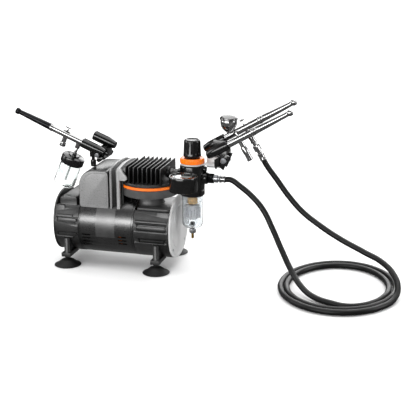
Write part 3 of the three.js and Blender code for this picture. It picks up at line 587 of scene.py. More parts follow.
def motorBar(name, radius, x0, x1):
    # a bar round the motor's shaft
    return rod(name, radius, (x0, 0, axisZ), (x1, 0, axisZ), 128)


def bodyRoom():
    # the motor's own place, cut out of what stands on it
    return motorBar("body_room", motor["room"], *motor["ends"])


def makeSleeve():
    # a rolled sleeve with a bead near each end, vent slots and a hole for the pump's neck
    low, high = span("motor_sleeve")
    r, w, n, b = motor["radius"], motor["wall"], high.x - low.x, motor["bead"]
    sleeve = turned("sleeve", [(r - w, 0), (r - 0.6, 0), (r, 0.6), (r, 1.6), (r - b, 2.0), (r - b, 2.8), (r, 3.2),
                               (r, n - 3.2), (r - b, n - 2.8), (r - b, n - 2.0), (r, n - 1.6), (r, n - 0.6),
                               (r - 0.6, n), (r - w, n)], along(low.x), 128, closed=True)
    tools = []
    dx, dz = motor["slotLong"] / 2, motor["slotHigh"] / 2
    for middle, count in motor["slotRows"]:
        for i in range(count):
            z = motor["slotTop"] - motor["slotPitch"] * i
            tools.append(pulled("slot", roundRect(middle - dx, z - dz, middle + dx, z + dz, dz * 0.9), 110, sideOn,
                                base=-55))
    cutBy(sleeve, joined(tools, "slots"), rod("room", motor["neckRoom"], (pumpX, 0, 86), (pumpX, 0, 130), 48))
    return rounded(sleeve, 0.25, 2, 50)


dress(makeSleeve(), "satinBlackLacquer", base, ["motor_sleeve"])

# ribs cast on each end bell, as (left, right, bottom, top)
bells = {
    "left_bell": [(-130, -102.5, 64.6, 69.6), (-130, -102.5, 44.6, 47.4)],
    "right_bell": [(-11.5, 29.5, 61.4, 66.2), (-8, 27.5, 43.8, 46.4)],
    "groove": (44.2, 48), "rib": (43.6, 46.6), "border": 1.6,
}
label = {"x": (-73.5, -45), "z": (45, 85.5), "skin": (45.4, 45.85), "corner": 1.2}


def shellPiece(name, x0, x1, z0, z1, inner, outer, radius):
    # the part of a tube round the shaft that lies behind an upright rounded window, front side only
    slab = pulled(name, roundRect(x0, z0, x1, z1, radius, 6), 42, sideOn, base=12)
    cutBy(slab, motorBar("outer", outer, x0 - 5, x1 + 5), how="INTERSECT")
    cutBy(slab, motorBar("inner", inner, x0 - 5, x1 + 5))
    return slab


def makeBell(node, name):
    # each rib stands in a shallow groove of its own
    bell = refined(node, name, 0.5)
    border = bells["border"]
    for x0, x1, z0, z1 in bells[node]:
        half = (z1 - z0) / 2
        cutBy(bell, shellPiece("groove", x0 - border, x1 + border, z0 - border, z1 + border, *bells["groove"],
                               half + 1.5))
        rib = shellPiece("rib", x0, x1, z0, z1, *bells["rib"], half * 0.95)
        cutBy(bell, rounded(rib, 0.45, 2, 50), how="UNION")
    return smooth(bell, 38)


for node, name in (("left_bell", "bell_left"), ("right_bell", "bell_right")):
    dress(makeBell(node, name), "castingLacquer", base, [node])
# a real label, whose lighter grey is partly painted highlight where the front light's band crosses it
panel = shellPiece("label_panel", *label["x"], *label["z"], *label["skin"], label["corner"])
dress(smooth(panel, 40), "labelFilmPaintedHighlight", base)
print("motor body made")


endPlate = {"radius": 45.9, "corners": 0.02, "thick": 3, "fold": 1.1, "press": 4.5, "screwRing": 40}


def plateOutline(r):
    # a circle drawn out a little towards the four screws
    outline = []
    for i in range(120):
        a = radians(i * 3)
        k = r * (1 + endPlate["corners"] * cos(4 * a + pi))
        outline.append((k * cos(a), k * sin(a) + axisZ))
    return outline


def makeEndPlate(name, outer, inner):
    # outer and inner are the x of its two faces; the outer face is pressed in a little inside its folded rim
    way = 1 if outer > inner else -1
    plate = pulled(name, plateOutline(endPlate["radius"]), endPlate["thick"], endOn, base=min(outer, inner))
    pick(plate, "FACE", lambda c, n: n.x * way > 0.9)
    bpy.ops.mesh.inset(thickness=endPlate["press"] * mm)
    bpy.ops.mesh.inset(thickness=0.9 * mm, depth=-0.7 * mm)
    bpy.ops.mesh.inset(thickness=9 * mm)
    bpy.ops.mesh.inset(thickness=0.8 * mm, depth=0.5 * mm)
    done()
    return rounded(plate, endPlate["fold"], 3, 60)


screw = {"head": 3.0, "high": 1.9}


def makeScrew(name, at, way, size=1.0):
    # a dome-headed screw with a cross recess
    r, h = screw["head"] * size, screw["high"] * size
    head = turned(name, [(0, 0), (r, 0), (r, 0.35 * h), (0.9 * r, 0.66 * h), (0.62 * r, 0.9 * h), (0.3 * r, h),
                         (0, h)], steps=24)
    cross = [block("cross", (-0.5 * r, -0.09 * r, 0.45 * h), (0.5 * r, 0.09 * r, 2 * h)),
             block("cross", (-0.09 * r, -0.5 * r, 0.45 * h), (0.09 * r, 0.5 * r, 2 * h))]
    cutBy(head, *cross)
    return smooth(settle(head, name, frameAt(at, way)), 40)


screws = []
for node, way, finish, slot in (("left_plate", -1, "castingLacquer", "casting_paint"),
                                ("right_plate", 1, "powderCoatGrey", "end_plate_paint")):
    low, high = span(node)
    outer, inner = (high.x, low.x) if way > 0 else (low.x, high.x)
    dress(makeEndPlate("end_plate_right" if way > 0 else "end_plate_left", outer, inner), finish, base, [node])
    for i in range(4):
        a = radians(45 + 90 * i)
        at = (outer - way * 2.2, endPlate["screwRing"] * cos(a), axisZ + endPlate["screwRing"] * sin(a))
        screws.append(makeScrew("plate_screw", at, (way, 0, 0)))
print("end plates made")

# suction feet
footProfile = [(0, 3.2), (10, 1.3), (16, 0.05), (18.5, 0.05), (19.1, 0.45), (18.8, 1.0), (16.2, 2.2), (13.2, 4.1),
               (10.4, 6.4), (8, 8.1), (5.6, 9.0), (4.1, 9.5), (3.6, 10.1), (3.6, 11.0), (4.3, 11.8), (4.6, 12.5),
               (4.4, 13.1), (0, 13.1)]
oneCup = turned("cup", footProfile, steps=72)
for end in ("left", "right"):
    for side in ("front", "rear"):
        node = "suction_cup_%s_%s" % (end, side)
        low, high = span(node)
        x, y = (low.x + high.x) / 2, (low.y + high.y) / 2
        foot = smooth(copied(oneCup, "foot_%s_%s" % (end, side), shifted(x, y)))
        dress(foot, "nitrileRubber", base, [node])
bpy.data.objects.remove(oneCup)
print("feet made")

# cover over the motor's fan end
cover = {"edge": 2.6, "wall": 2.2, "corner": 5, "bow": 24, "foot": 83}


def coverOutline(x0, z0, x1, z1, big, small):
    # upright sides, one big bow at the upper left and small corners elsewhere
    return (arc(x1 - small, z1 - small, small, 0, 90, 5) + arc(x0 + big, z1 - big, big, 90, 180, 14)
            + arc(x0 + small, z0 + small, small, 180, 270, 5) + [(x1, z0)])


def makeCover():
    # a hollow shell open towards the shroud, with a window for the switch
    low, high = span("housing_cover")
    depth = high.y - (low.y + 1)
    shell = pulled("shell", coverOutline(low.x, cover["foot"], high.x, high.z, cover["bow"], cover["corner"]), depth,
                   sideOn, base=-high.y)
    rounded(shell, cover["edge"], 4, 50)
    w = cover["wall"]
    inside = coverOutline(low.x + w, cover["foot"] - 3, high.x + 5, high.z - w, cover["bow"] - 3, 1.2)
    cutBy(shell, pulled("room", inside, depth - 2 * w, sideOn, base=w - high.y))
    switch = span("power_switch")
    cutBy(shell, bodyRoom(),
          block("switch_room", (switch[0].x - 0.5, 30, 112), (switch[1].x + 0.5, 40, 132)))
    return smooth(settle(shell, "fan_cover"), 40)


def makeCoverFront():
    # the front face carries a softly raised panel, both in a lighter grey that paints the front light on a cover of
    # one dark colour
    low, high = span("housing_cover")
    front = pulled("cover_front", coverOutline(low.x + 1.2, 84.2, high.x - 0.8, high.z - 1.6, cover["bow"] - 1.5,
                                               cover["corner"]), 1.4, sideOn, base=-low.y - 1.9)
    rounded(front, 0.9, 4, 50)
    panel = pulled("panel", coverOutline(low.x + 8.5, 90.5, high.x - 2.5, high.z - 5, 17, 3), 2.2, sideOn,
                   base=-low.y - 2.2)
    cutBy(front, rounded(panel, 0.8, 3, 50), how="UNION")
    cutBy(front, bodyRoom())
    return smooth(front, 40)


# the cover is one colour: its shell keeps the dark lacquer as painted shade on its top, and its front is painted a
# lighter grey for the front light
dress(makeCover(), "satinBlackLacquer", base, ["housing_cover"])
dress(makeCoverFront(), "paintedFrontLightGrey", base)
print("cover made")


def archOutline(h, y, top=140.0):
    # a panel with a softly crowned top, seen from its end; y is half its width
    shoulder = [(3 * t, top + 1 + (h - 2) * t) for t in (0.35, 0.7, 1.0)]
    crown = []
    for t in (i / 8 for i in range(9)):
        crown.append((y - 12 + 2 * (y - 12) * -t, top + h + 2.0 * sin(pi * t)))
    return ([(y, 84), (y, top + 1)] + [(y - dy, z) for dy, z in shoulder] + crown
            + [(-y + dy, z) for dy, z in reversed(shoulder)] + [(-y, top + 1), (-y, 84)])


shroud = {
    # (from, to, height of crown, half width, finish) of each band, left to right
    "bands": [(-55.2, -53.6, 3.0, 33.6, "castingLacquer"), (-53.7, -50.6, 5.0, 36.6, "paintedFrontLightGrey"),
              (-50.7, -49.6, 3.2, 33.4, "castingLacquer"), (-49.7, -48.7, 4.4, 34.4, "castingLacquer"),
              (-48.8, -47.8, 3.2, 33.4, "castingLacquer"), (-47.9, -46.9, 4.4, 34.4, "castingLacquer"),
              (-47.0, -43.2, 3.4, 33.4, "castingLacquer"), (-43.3, -39.0, 5.0, 36.6, "powderCoatGrey")],
    "tab": [(-39.2, 127.5), (-30.6, 127.5), (-28.2, 129.6), (-28.2, 132.6), (-37.6, 144), (-39.2, 144)],
    "tabDeep": 3.6, "tabBack": 33,
}


def makeBand(name, x0, x1, h, y, hollow=True):
    # one arch across the motor, cut round the motor and the pump's disc
    band = pulled(name, archOutline(h, y), x1 - x0, endOn, base=x0)
    tools = [bodyRoom(), rod("disc_room", 42.5, (pumpX, 0, 90), (pumpX, 0, 125), 96)]
    if hollow:
        tools.append(block("inside", (x0 - 1, -y + 5, 90), (x1 + 1, y - 5, 137)))
    cutBy(band, *tools)
    return rounded(band, 0.5, 2, 50)


bands = {}
for x0, x1, h, y, finish in shroud["bands"]:
    bands.setdefault(finish, []).append(makeBand("band", x0, x1, h, y))
tab = pulled("tab", shroud["tab"], shroud["tabDeep"], sideOn, base=shroud["tabBack"])
bands["powderCoatGrey"].append(rounded(tab, 0.6, 3, 50))
# the first band's lighter grey is a painted highlight of the front light
dress(joined(bands["paintedFrontLightGrey"], "shroud_strip"), "paintedFrontLightGrey", base)
# the last band and the tab, gathered under the powder-coat key, get the rim's light grey, on the band a painted
# reflection of the top light
dress(joined(bands["powderCoatGrey"], "shroud_rim"), "rimPaintedReflectionGrey", base)
dress(joined(bands["castingLacquer"], "shroud_body"), "castingLacquer", base, ["housing_frame"])


def makeShroudEnd():
    low, high = span("housing_end")
    body = makeBand("end", low.x, high.x, 2.6, 30, hollow=False)
    cutBy(body, block("inside", (low.x - 1, -27, 112), (high.x - 3, 27, 137)))
    return smooth(settle(body, "shroud_end"), 40)


dress(makeShroudEnd(), "castingLacquer", base, ["housing_end"])
screws.append(makeScrew("shroud_screw", (span("housing_end")[1].x - 0.3, -24, 134), (1, 0, 0), 1.1))
print("shroud made")

# pump head
pump = {"fins": 9, "pitch": 6.5, "thick": 2.0, "halfLong": 36, "taper": 0.72, "foot": 86.4, "bore": 15}
onPump = shifted(pumpX, 0)


def makePumpBase():
    # a neck that widens to the disc under the gasket, on a flange over the motor
    high = span("cylinder")[1]
    foot, top, r = pump["foot"], high.z, high.x - pumpX
    barrel = turned("pump_base", [(0, foot), (22, foot), (21.2, 88.4), (19.6, 92), (19, 95), (19, 103.2),
                                  (r - 3.7, 103.2), (r - 1.1, 104), (r, 106.2), (r, top - 0.6), (r - 0.6, top),
                                  (0, top)], onPump, 128)
    flange = pulled("flange", roundRect(-15.5, -34, 32.5, 34, 4), 2.6, base=foot)
    cutBy(barrel, flange, how="UNION")
    cutBy(barrel, rod("bore", pump["bore"], (pumpX, 0, 60), (pumpX, 0, 130), 64))
    return rounded(barrel, 0.3, 2, 50)


dress(makePumpBase(), "castGrey", base, ["cylinder"])
low, high = span("head_gasket")
r = high.x - pumpX
gasket = turned("gasket", [(26, low.z), (r - 0.9, low.z), (r, low.z + 0.9), (r, high.z - 0.9), (r - 0.9, high.z),
                           (26, high.z)], onPump, 128, closed=True)
dress(smooth(gasket, 60), "siliconeOrange", base, ["head_gasket"])


def makeHead():
    # a round foot, a core with the outlet's boss, and fins that narrow upwards
    low, high = span("cylinder_head")
    r = span("head_gasket")[1].x - pumpX - 0.3
    foot = turned("head_foot", [(0, low.z), (r - 0.6, low.z), (r, low.z + 0.6), (r, low.z + 2.9),
                                (r - 0.8, low.z + 4), (0, low.z + 4)], onPump, 128)
    cutBy(foot, block("chamber", (pumpX - 15, -12, low.z - 1), (pumpX + 15, 12, low.z + 5)))
    core = block("core", (pumpX - 19, -15, low.z + 3.9), (pumpX + 19, 15, 142))
    boss = rod("boss", 8, (pumpX, 0, airZ), (pumpX + 29.5, 0, airZ), 40)
    cutBy(core, boss, how="UNION")
    cutBy(core, block("chamber", (pumpX - 16, -12, low.z - 1), (pumpX + 16, 12, 139)),
          rod("bore", 4, (pumpX, 0, airZ), (pumpX + 40, 0, airZ)))
    parts = [rounded(core, 0.8, 2)]
    for i in range(pump["fins"]):
        # the first fin is a little shorter than the others
        x = pumpX + (i - (pump["fins"] - 1) / 2) * pump["pitch"]
        y0, y1 = -pump["halfLong"] + (4 if i == 0 else 0), pump["halfLong"] - (12 if i == 0 else 0)
        fin = block("fin", (x - pump["thick"] / 2, y0, low.z + 3.5), (x + pump["thick"] / 2, y1, high.z))
        pick(fin, "FACE", lambda c, n: n.z > 0.9)
        bpy.ops.transform.resize(value=(pump["taper"], 0.985, 1))
        done()
        parts.append(rounded(fin, 0.45, 2, 50))
    return foot, joined(parts, "head_fins")


foot, fins = makeHead()
dress(foot, "castingLacquer", base)
dress(fins, "finLacquer", base, ["cylinder_head"])
screws.append(makeScrew("head_screw", (32.4, -25, 128), (1, 0, 0), 1.1))
print("pump head made")

# regulator, gauge and filter
low, high = span("regulator_ring")
regX = (low.x + high.x) / 2
regulator = {"radius": 17.5, "knob": 12.5, "flutes": 14, "ringRibs": 28, "outlet": 130}
onRegulator = shifted(regX, 0)


def makeRegulatorBody():
    # a turned body with bosses for outlet, inlet, gauge and plug, and with its bores
    low, high = span("regulator_body")
    r, outlet = regulator["radius"], regulator["outlet"]
    body = turned("regulator", [(0, low.z), (16.2, low.z), (r, low.z + 1.4), (r, 112.4), (16.9, 113), (16.9, 113.6),
                                (r, 114.2), (r, 146.2), (16.9, 147.7), (15.6, 148.5), (11, 148.5), (11, high.z),
                                (0, high.z)], onRegulator, 96)
    boss = turned("boss", [(0, 0), (8.5, 0), (8.5, 20.8), (7.8, 22.5), (0, 22.5)],
                  frameAt((regX, 0, outlet), (1, 0, 0)), 64)
    parts = [boss, rod("boss", 7, (low.x, 0, airZ), (regX, 0, airZ), 48),
             rod("boss", 4.5, (regX - 1, -23, 129), (regX - 1, 0, 129), 40),
             turned("boss", [(0, 0), (4.2, 0), (4.2, 19.5), (3.4, 20.5), (0, 20.5)],
                    frameAt((regX, 0, 142.5), (1, 0, 0)), 40)]
    cutBy(body, *parts, how="UNION")
    gauge = span("gauge_can")
    gx, gy = (gauge[0].x + gauge[1].x) / 2, (gauge[0].y + gauge[1].y) / 2
    cutBy(body, rod("gauge_room", 20.3, (gx, gy, 100), (gx, gy, 150), 96),
          rod("spring_room", 8.5, (regX, 0, 140), (regX, 0, 170), 48),
          rod("inlet_bore", 4, (regX - 60, 0, airZ), (regX - 4, 0, airZ)),
          rod("outlet_bore", 3.5, (regX, 0, outlet), (140, 0, outlet)),
          rod("bowl_room", 11.5, (regX, 0, 100), (regX, 0, 112), 64),
          rod("middle_bore", 3, (regX, 0, 100), (regX, 0, 150)))
    return rounded(body, 0.35, 2, 50)


dress(makeRegulatorBody(), "glossBlackAbs", base, ["regulator_body"])


def makeLockRing():
    # an orange ring with fine ribs pressed round its side
    low, high = span("regulator_ring")
    r = high.x - regX
    ring = turned("lock_ring", [(11.3, low.z), (r - 0.9, low.z), (r - 0.2, low.z + 0.8), (r - 0.2, high.z - 1.4),
                                (r - 1.2, high.z - 0.3), (r - 2.4, high.z), (13.4, high.z), (12.9, high.z - 0.5),
                                (11.3, high.z - 0.5)], onRegulator, 112, closed=True)
    rib = rod("rib", 0.75, (r - 0.75, 0, low.z + 1.3), (r - 0.75, 0, high.z - 2.0), 12)
    return smooth(joined([ring] + ringOf(rib, regulator["ringRibs"], onRegulator, 0.5), "lock_ring"), 40)


dress(makeLockRing(), "mouldedOrange", base, ["regulator_ring"])


def makeKnob():
    # a knob that narrows upwards, with grip flutes and a room for the screw
    low, high = span("regulator_knob")
    r, n = regulator["knob"], regulator["flutes"]
    knob = turned("knob", [(0, low.z), (r - 0.8, low.z), (r, low.z + 1.0), (r, low.z + 3.2),
                           (r - 0.25, low.z + 3.8), (r - 0.9, high.z - 3.2), (r - 1.3, high.z - 1.6),
                           (r - 2.3, high.z - 0.4), (r - 3.4, high.z), (r - 4.4, high.z - 0.5),
                           (r - 5.4, high.z - 1.4), (0, high.z - 1.7)], onRegulator, 120)
    tools = []
    for i in range(n):
        a = 2 * pi * i / n
        x, y = regX + (r + 0.75) * cos(a), (r + 0.75) * sin(a)
        tools.append(turned("flute", [(0, 0), (1.9, 1.9), (1.9, 40), (0, 40)], shifted(x, y, low.z + 3.6), 24))
    cutBy(knob, joined(tools, "flutes"), rod("room", 4.5, (regX, 0, low.z - 5), (regX, 0, 175.5)))
    return rounded(knob, 0.2, 2, 40)


dress(makeKnob(), "glossBlackAbs", "regulator_handwheel", ["regulator_knob"])

gaugeLow, gaugeHigh = span("gauge_can")
gauge = {"x": (gaugeLow.x + gaugeHigh.x) / 2, "y": (gaugeLow.y + gaugeHigh.y) / 2,
         "radius": (gaugeHigh.x - gaugeLow.x) / 2, "strokes": 31, "numbers": 7, "numberSize": 3.4, "numberRing": 10.2}
onGauge = shifted(gauge["x"], gauge["y"])


def makeGauge():
    # case, dial, printed scale, glass and pointer
    z0, z1, r = gaugeLow.z, gaugeHigh.z, gauge["radius"]
    can = turned("gauge_case", [(0, z0), (r - 2.2, z0), (r - 0.7, z0 + 0.6), (r - 0.3, z0 + 1.8), (r - 0.3, z1 - 4.2),
                                (r, z1 - 3.9), (r, z1 - 0.9), (r - 0.4, z1 - 0.2), (r - 1.0, z1), (r - 1.7, z1 - 0.2),
                                (r - 2.0, z1 - 0.9), (r - 2.0, z1 - 7), (0, z1 - 7)], onGauge, 128)
    dress(smooth(can, 40), "glossBlackAbs", base, ["gauge_can"])
    low, high = span("gauge_dial")
    face = turned("dial_face", [(0, low.z), (r - 2.5, low.z), (r - 2.5, high.z - 0.1), (r - 2.7, high.z),
                                (0, high.z)], onGauge, 96)
    dress(face, "printedWhite", base, ["gauge_dial"])
    # the printed scale: a red band at its top end, strokes and plain numbers
    red = pulled("red_band", arc(0, 0, 15.6, -120, -30, 24) + arc(0, 0, 11.2, -30, -120, 24), 0.06,
                 onGauge, base=high.z)
    dress(red, "printedRed", base)
    strokes = []
    oneStroke = block("stroke", (13.2, -0.18, high.z), (15.9, 0.18, high.z + 0.09))
    shortStroke = block("stroke", (14.5, -0.12, high.z), (15.9, 0.12, high.z + 0.09))
    for i in range(gauge["strokes"]):
        turn = Matrix.Rotation(radians(-90 - 9 * i), 4, "Z")
        strokes.append(copied(oneStroke if i % 5 == 0 else shortStroke, "stroke", onGauge @ turn))
    bpy.data.objects.remove(oneStroke)
    bpy.data.objects.remove(shortStroke)
    for i in range(gauge["numbers"]):
        a = radians(-90 - 45 * i)
        deselectAll()
        bpy.ops.object.text_add()
        number = bpy.context.object
        number.data.body = str(2 * i)
        number.data.size = gauge["numberSize"] * mm
        number.data.align_x = number.data.align_y = "CENTER"
        number.data.extrude = 0.04 * mm
        bpy.ops.object.convert(target="MESH")
        ring = gauge["numberRing"]
        number.location = Vector((gauge["x"] + ring * cos(a), gauge["y"] + ring * sin(a), high.z + 0.05)) * mm
        strokes.append(settle(number, "number"))
    dress(joined(strokes, "dial_scale"), "glossBlackAbs", base)
    low, high = span("gauge_lens")
    lens = turned("gauge_glass", [(0, low.z), (r - 2.3, low.z), (r - 2.3, high.z - 0.5), (r - 3, high.z - 0.2),
                                  (9, high.z), (0, high.z)], onGauge, 96)
    dress(smooth(lens, 60), "clearGlass", base, ["gauge_lens"])
    low, high = span("gauge_needle")
    pointer = pulled("pointer", [(-0.35, -13.8), (0.35, -13.8), (0.8, -2), (0.9, 4.6), (-0.9, 4.6), (-0.8, -2)], 0.6,
                     onGauge, base=low.z + 0.4)
    hub = turned("hub", [(0, low.z), (2.2, low.z), (2.4, low.z + 0.3), (2.4, high.z - 0.5), (1.8, high.z),
                         (0, high.z)], onGauge, 32)
    dress(joined([pointer, hub], "gauge_pointer"), "glossBlackAbs", "needle", ["gauge_needle"])


makeGauge()


def makeFilter():
    # bowl, sintered element, baffle with vanes, and the drain valve below
    low, high = span("filter_bowl")
    r = high.x - regX
    z0, z1 = low.z, high.z
    bowl = turned("bowl", [(3.4, z0), (8.5, z0 + 0.1), (11.2, z0 + 0.9), (13.3, z0 + 2.6), (14.4, z0 + 5),
                           (14.8, z0 + 8), (14.8, z1 - 7.4), (r, z1 - 6.8), (r, z1 - 0.4), (r - 0.4, z1), (13.2, z1),
                           (13.1, z0 + 8.4), (12.6, z0 + 6), (11.5, z0 + 4), (9.8, z0 + 2.6), (7.6, z0 + 1.9),
                           (3.4, z0 + 1.8)],
                  onRegulator, 112, closed=True)
    dress(smooth(bowl, 45), "clearPolycarbonate", base, ["filter_bowl"])
    element = turned("element", [(0, 92), (6.6, 92), (7.3, 92.6), (7.3, 102.9), (6.9, 103.5), (2, 103.5), (2, 110),
                                 (0, 110)], onRegulator, 64)
    dress(smooth(element, 45), "sinteredBronze", base, ["filter_element"])
    baffle = turned("baffle", [(0, 90.8), (9.4, 90.8), (10.2, 90.2), (10.2, 89.2), (9.2, 88.6), (8.6, 80),
                               (8.2, 70.5), (7.2, 69.6), (6.4, 70.4), (6.9, 80), (7.4, 88), (0, 88.4)],
                    onRegulator, 64)
    vanes = ringOf(block("vane", (7.8, -0.45, 71), (11.6, 0.45, 87)), 8, onRegulator)
    dress(smooth(joined([baffle] + vanes, "baffle"), 40), "milkyPolycarbonate", base)
    z, seat = span("drain_valve")[0].z, z0
    stem = turned("drain_stem", [(0, z), (1.5, z), (1.9, z + 0.6), (1.9, z + 8), (2.4, z + 8.4), (0, z + 8.4)],
                  onRegulator, 32)
    nut = pulled("nut", hexagon(10 * cos(radians(30)), 15), 5.6, onRegulator, base=z + 8.3)
    neck = turned("neck", [(0, seat - 2.6), (3, seat - 2.6), (3, seat + 2.4), (5.2, seat + 2.5), (5.4, seat + 3),
                           (5.2, seat + 3.6), (0, seat + 4)], onRegulator, 48)
    dress(joined([rounded(nut, 0.5, 2), neck], "drain_nut"), "zincSteel", "drain", ["drain_valve"])
    dress(smooth(stem, 40), "turnedBrass", "drain")
    seal = turned("drain_seal", [(0, seat + 4.1), (3, seat + 4.1), (3.3, seat + 4.6), (3.3, seat + 6.4),
                                 (2.8, seat + 7), (0, seat + 7)], onRegulator, 40)
    dress(smooth(seal, 40), "nitrileRubber", "drain")


makeFilter()


def hexBar(name, across, start, end, bevel):
    # a six-sided nut on a pipe along X
    nut = pulled(name, hexagon(across, 30), end[0] - start[0], frameAt(start, (1, 0, 0), (0, 1, 0)))
    return rounded(nut, bevel, 2, 40)


fittings = {"linkNut": (9.6, 4.6), "outletNut": (12.8, 8.6), "collar": 9.8}  # nuts as (width over flats, length)


def makeAirPipe():
    # a short pipe with a nut at each end
    low, high = span("air_link")
    across, long = fittings["linkNut"]
    pipe = turned("pipe", [(3, 0), (4.2, 0), (4.2, high.x - low.x), (3, high.x - low.x)],
                  frameAt((low.x, 0, airZ), (1, 0, 0)), 40, closed=True)
    link = joined([hexBar("nut", across, (low.x, 0, airZ), (low.x + long, 0, airZ), 0.5), pipe,
                   hexBar("nut", across, (high.x - long, 0, airZ), (high.x, 0, airZ), 0.5)], "air_pipe")
    dress(link, "castingLacquer", base, ["air_link"])


def makeOutlet():
    # nut, collar and the ferrule that grips the hose, one after the other
    low, high = span("outlet_fitting")
    z, (across, long) = regulator["outlet"], fittings["outletNut"]
    nut = hexBar("outlet_nut", across, (low.x, 0, z), (low.x + long, 0, z), 0.7)
    dress(nut, "blackAnodised", base)
    collar = turned("outlet_collar", [(0, 0), (4.6, 0), (4.6, 1.2), (5.5, 1.6), (5.5, 5.6), (4.4, 6.2), (4.0, 6.4),
                                      (4.0, 8.2), (5.3, 8.6), (5.6, 9.2), (5.3, 9.8), (0, fittings["collar"])],
                    frameAt((low.x + long, 0, z), (1, 0, 0)), 48)
    dress(smooth(collar, 40), "zincSteel", base, ["outlet_fitting"])
    start = long + fittings["collar"]
    grip = high.x - low.x - start
    ferrule = turned("hose_ferrule", [(0, 0), (4.2, 0), (4.7, 0.5), (4.7, 1.6), (4.4, 2), (4.4, grip - 2.2),
                                      (4.8, grip - 1.6), (4.8, grip - 0.5), (4.4, grip), (0, grip)],
                     frameAt((low.x + start, 0, z), (1, 0, 0)), 48)
    dress(smooth(ferrule, 40), "chromePlate", base)


makeAirPipe()
makeOutlet()
print("regulator made")

# holders
rightPair = {"long": 34, "up": (cos(radians(30)), 0, 0.5), "across": (0.5, 0, -cos(radians(30))), "slotSide": -1}
leftPair = {"long": 35, "up": (-cos(radians(22.5)), 0, sin(radians(22.5))),
            "across": (sin(radians(22.5)), 0, cos(radians(22.5))), "slotSide": 1}
sockets = {"holder_socket_a": rightPair, "holder_socket_b": rightPair, "holder_socket_c": leftPair,
           "holder_socket_spare": leftPair}


def socketFrame(node, up=0.0):
    # the middle of a leaning tube's box is the middle of its axis
    look = sockets[node]
    low, high = span(node)
    return frameAt((low + high) / 2 - Vector(look["up"]) * (look["long"] / 2 - up), look["up"], look["across"])


def makeSocket(node, name):
    # a tapered tube, slit along its upper side
    long, side = sockets[node]["long"], sockets[node]["slotSide"]
    tube = turned(name, [(2.6, 0), (4.4, 0), (5.1, 0.6), (6.6, 8.5), (7, 12), (7, long - 1.2), (6.8, long - 0.3),
                         (6.5, long), (6.2, long - 0.2), (6.1, long - 0.8), (6.1, 11), (5.4, 7), (3.9, 1.8),
                         (2.6, 1.8)], steps=64, closed=True)
    slot = pulled("slot", roundRect(-1.6, 12, 1.6, long + 8, 1.5), 12,
                  frameAt((0, 0, 0), (side, 0, 0), (0, side, 0)))
    cutBy(tube, slot)
    rounded(tube, 0.3, 2, 50)
    return settle(tube, name, socketFrame(node))


for node in sockets:
    dress(makeSocket(node, node.replace("holder_", "")), "glossBlackAbs", base, [node])
dress(refined("holder_bracket", "bracket", 0.4), "powderCoatGrey", base, ["holder_bracket"])
dress(refined("holder_clamp_right", "clamp_right", 0.5), "glossBlackAbs", base,
      ["holder_clamp_right"])


clampBox = {"jaw": [(91.8, 150.5), (98.7, 150.5), (98.7, 164.6), (91.8, 160.6)], "thick": 2.0, "back": 11.3}


def makeClampBox():
    # the moulded jaw that closes on the bracket's upright plate, under the front socket
    jaw = pulled("clamp_box", clampBox["jaw"], clampBox["thick"], sideOn, base=clampBox["back"])
    lug = block("lug", (92.4, -12.9, 147.6), (95.2, -clampBox["back"], 151.2))
    cutBy(jaw, lug, how="UNION")
    return rounded(jaw, 0.35, 2)


dress(makeClampBox(), "glossBlackAbs", base)
dress(refined("holder_stand_left", "stand_left", 0.5), "glossBlackAbs", base, ["holder_stand_left"])


def makeWingScrew(name, at, way, size=1.0):
    # a knurled thumb screw
    knob = turned(name, [(0, 0), (1.6, 0), (1.6, 2), (3.4, 2.2), (3.8, 2.8), (3.8, 5.4), (3.3, 6), (0, 6.2)], steps=48)
    whole = joined([knob] + ringOf(rod("rib", 0.35, (3.75, 0, 2.7), (3.75, 0, 5.5), 8), 16), name)
    return smooth(settle(whole, name, frameAt(at, way) @ Matrix.Scale(size, 4)), 40)


for name, node, step, size in (("clamp_screw_right", "holder_clamp_right", (22, -0.2, 14.5), 1.0),
                               ("clamp_screw_left", "holder_stand_left", (15.5, 6.2, 19.5), 0.8)):
    at = span(node)[0] + Vector(step)
    dress(makeWingScrew(name, at, (0, -1, 0), size), "zincSteel", base)
print("holders made")

# airbrushes
brushes = {
    # seat is the depth in the socket, reach the valve's length, and top the side of the trigger
    "a": {"socket": "holder_socket_a", "seat": 8.3, "long": 140, "valve": 60, "reach": 24, "top": -1},
    "b": {"socket": "holder_socket_b", "seat": 6.3, "long": 129, "valve": 45.5, "reach": 33, "top": -1},
    "c": {"socket": "holder_socket_c", "seat": 8.3, "long": 134, "valve": 53, "reach": 18, "top": 1},
}
smallAngle = 38


def makeAirbrush(key):
    # nozzle to tail in one turning, with the air valve below and a pocket for the trigger
    look = brushes[key]
    place = socketFrame(look["socket"], look["seat"])
    valve, reach, top = look["valve"], look["reach"], look["top"]
    tail = valve + 22
    body = turned("airbrush", [(0, 0), (0.9, 0), (1.3, 0.5), (2.1, 6.6), (2.6, 7.0), (3.3, 7.4), (3.6, 8.6),
                               (4.2, 13.8), (4.8, 14.2), (5, 14.6), (5, 18.4), (4.6, 19), (4.6, 19.6), (4.75, 20.2),
                               (4.75, tail - 1.6), (5.1, tail - 1.2), (5.3, tail - 0.6), (5.3, tail + 0.9),
                               (4.9, tail + 1.2), (5.3, tail + 1.5), (5.3, tail + 2.6), (5, tail + 3),
                               (0, tail + 3)], steps=64)
    stem = turned("valve", [(0, 0), (3.4, 0), (3.4, 11.4), (4.1, 11.8), (4.4, 12.4), (4.4, reach * 0.5 + 5),
                            (4.0, reach * 0.5 + 5.4), (4.0, reach - 3), (4.4, reach - 2.6), (4.4, reach - 0.5),
                            (4.0, reach), (0, reach)], frameAt((0, 0, valve), (-top, 0, 0)), 48)
    cutBy(body, stem, how="UNION")
    cutBy(body, block("pocket", (min(-top * 3, top * 9), -2.1, valve - 5), (max(-top * 3, top * 9), 2.1, valve + 5)))
    return smooth(body, smallAngle), place


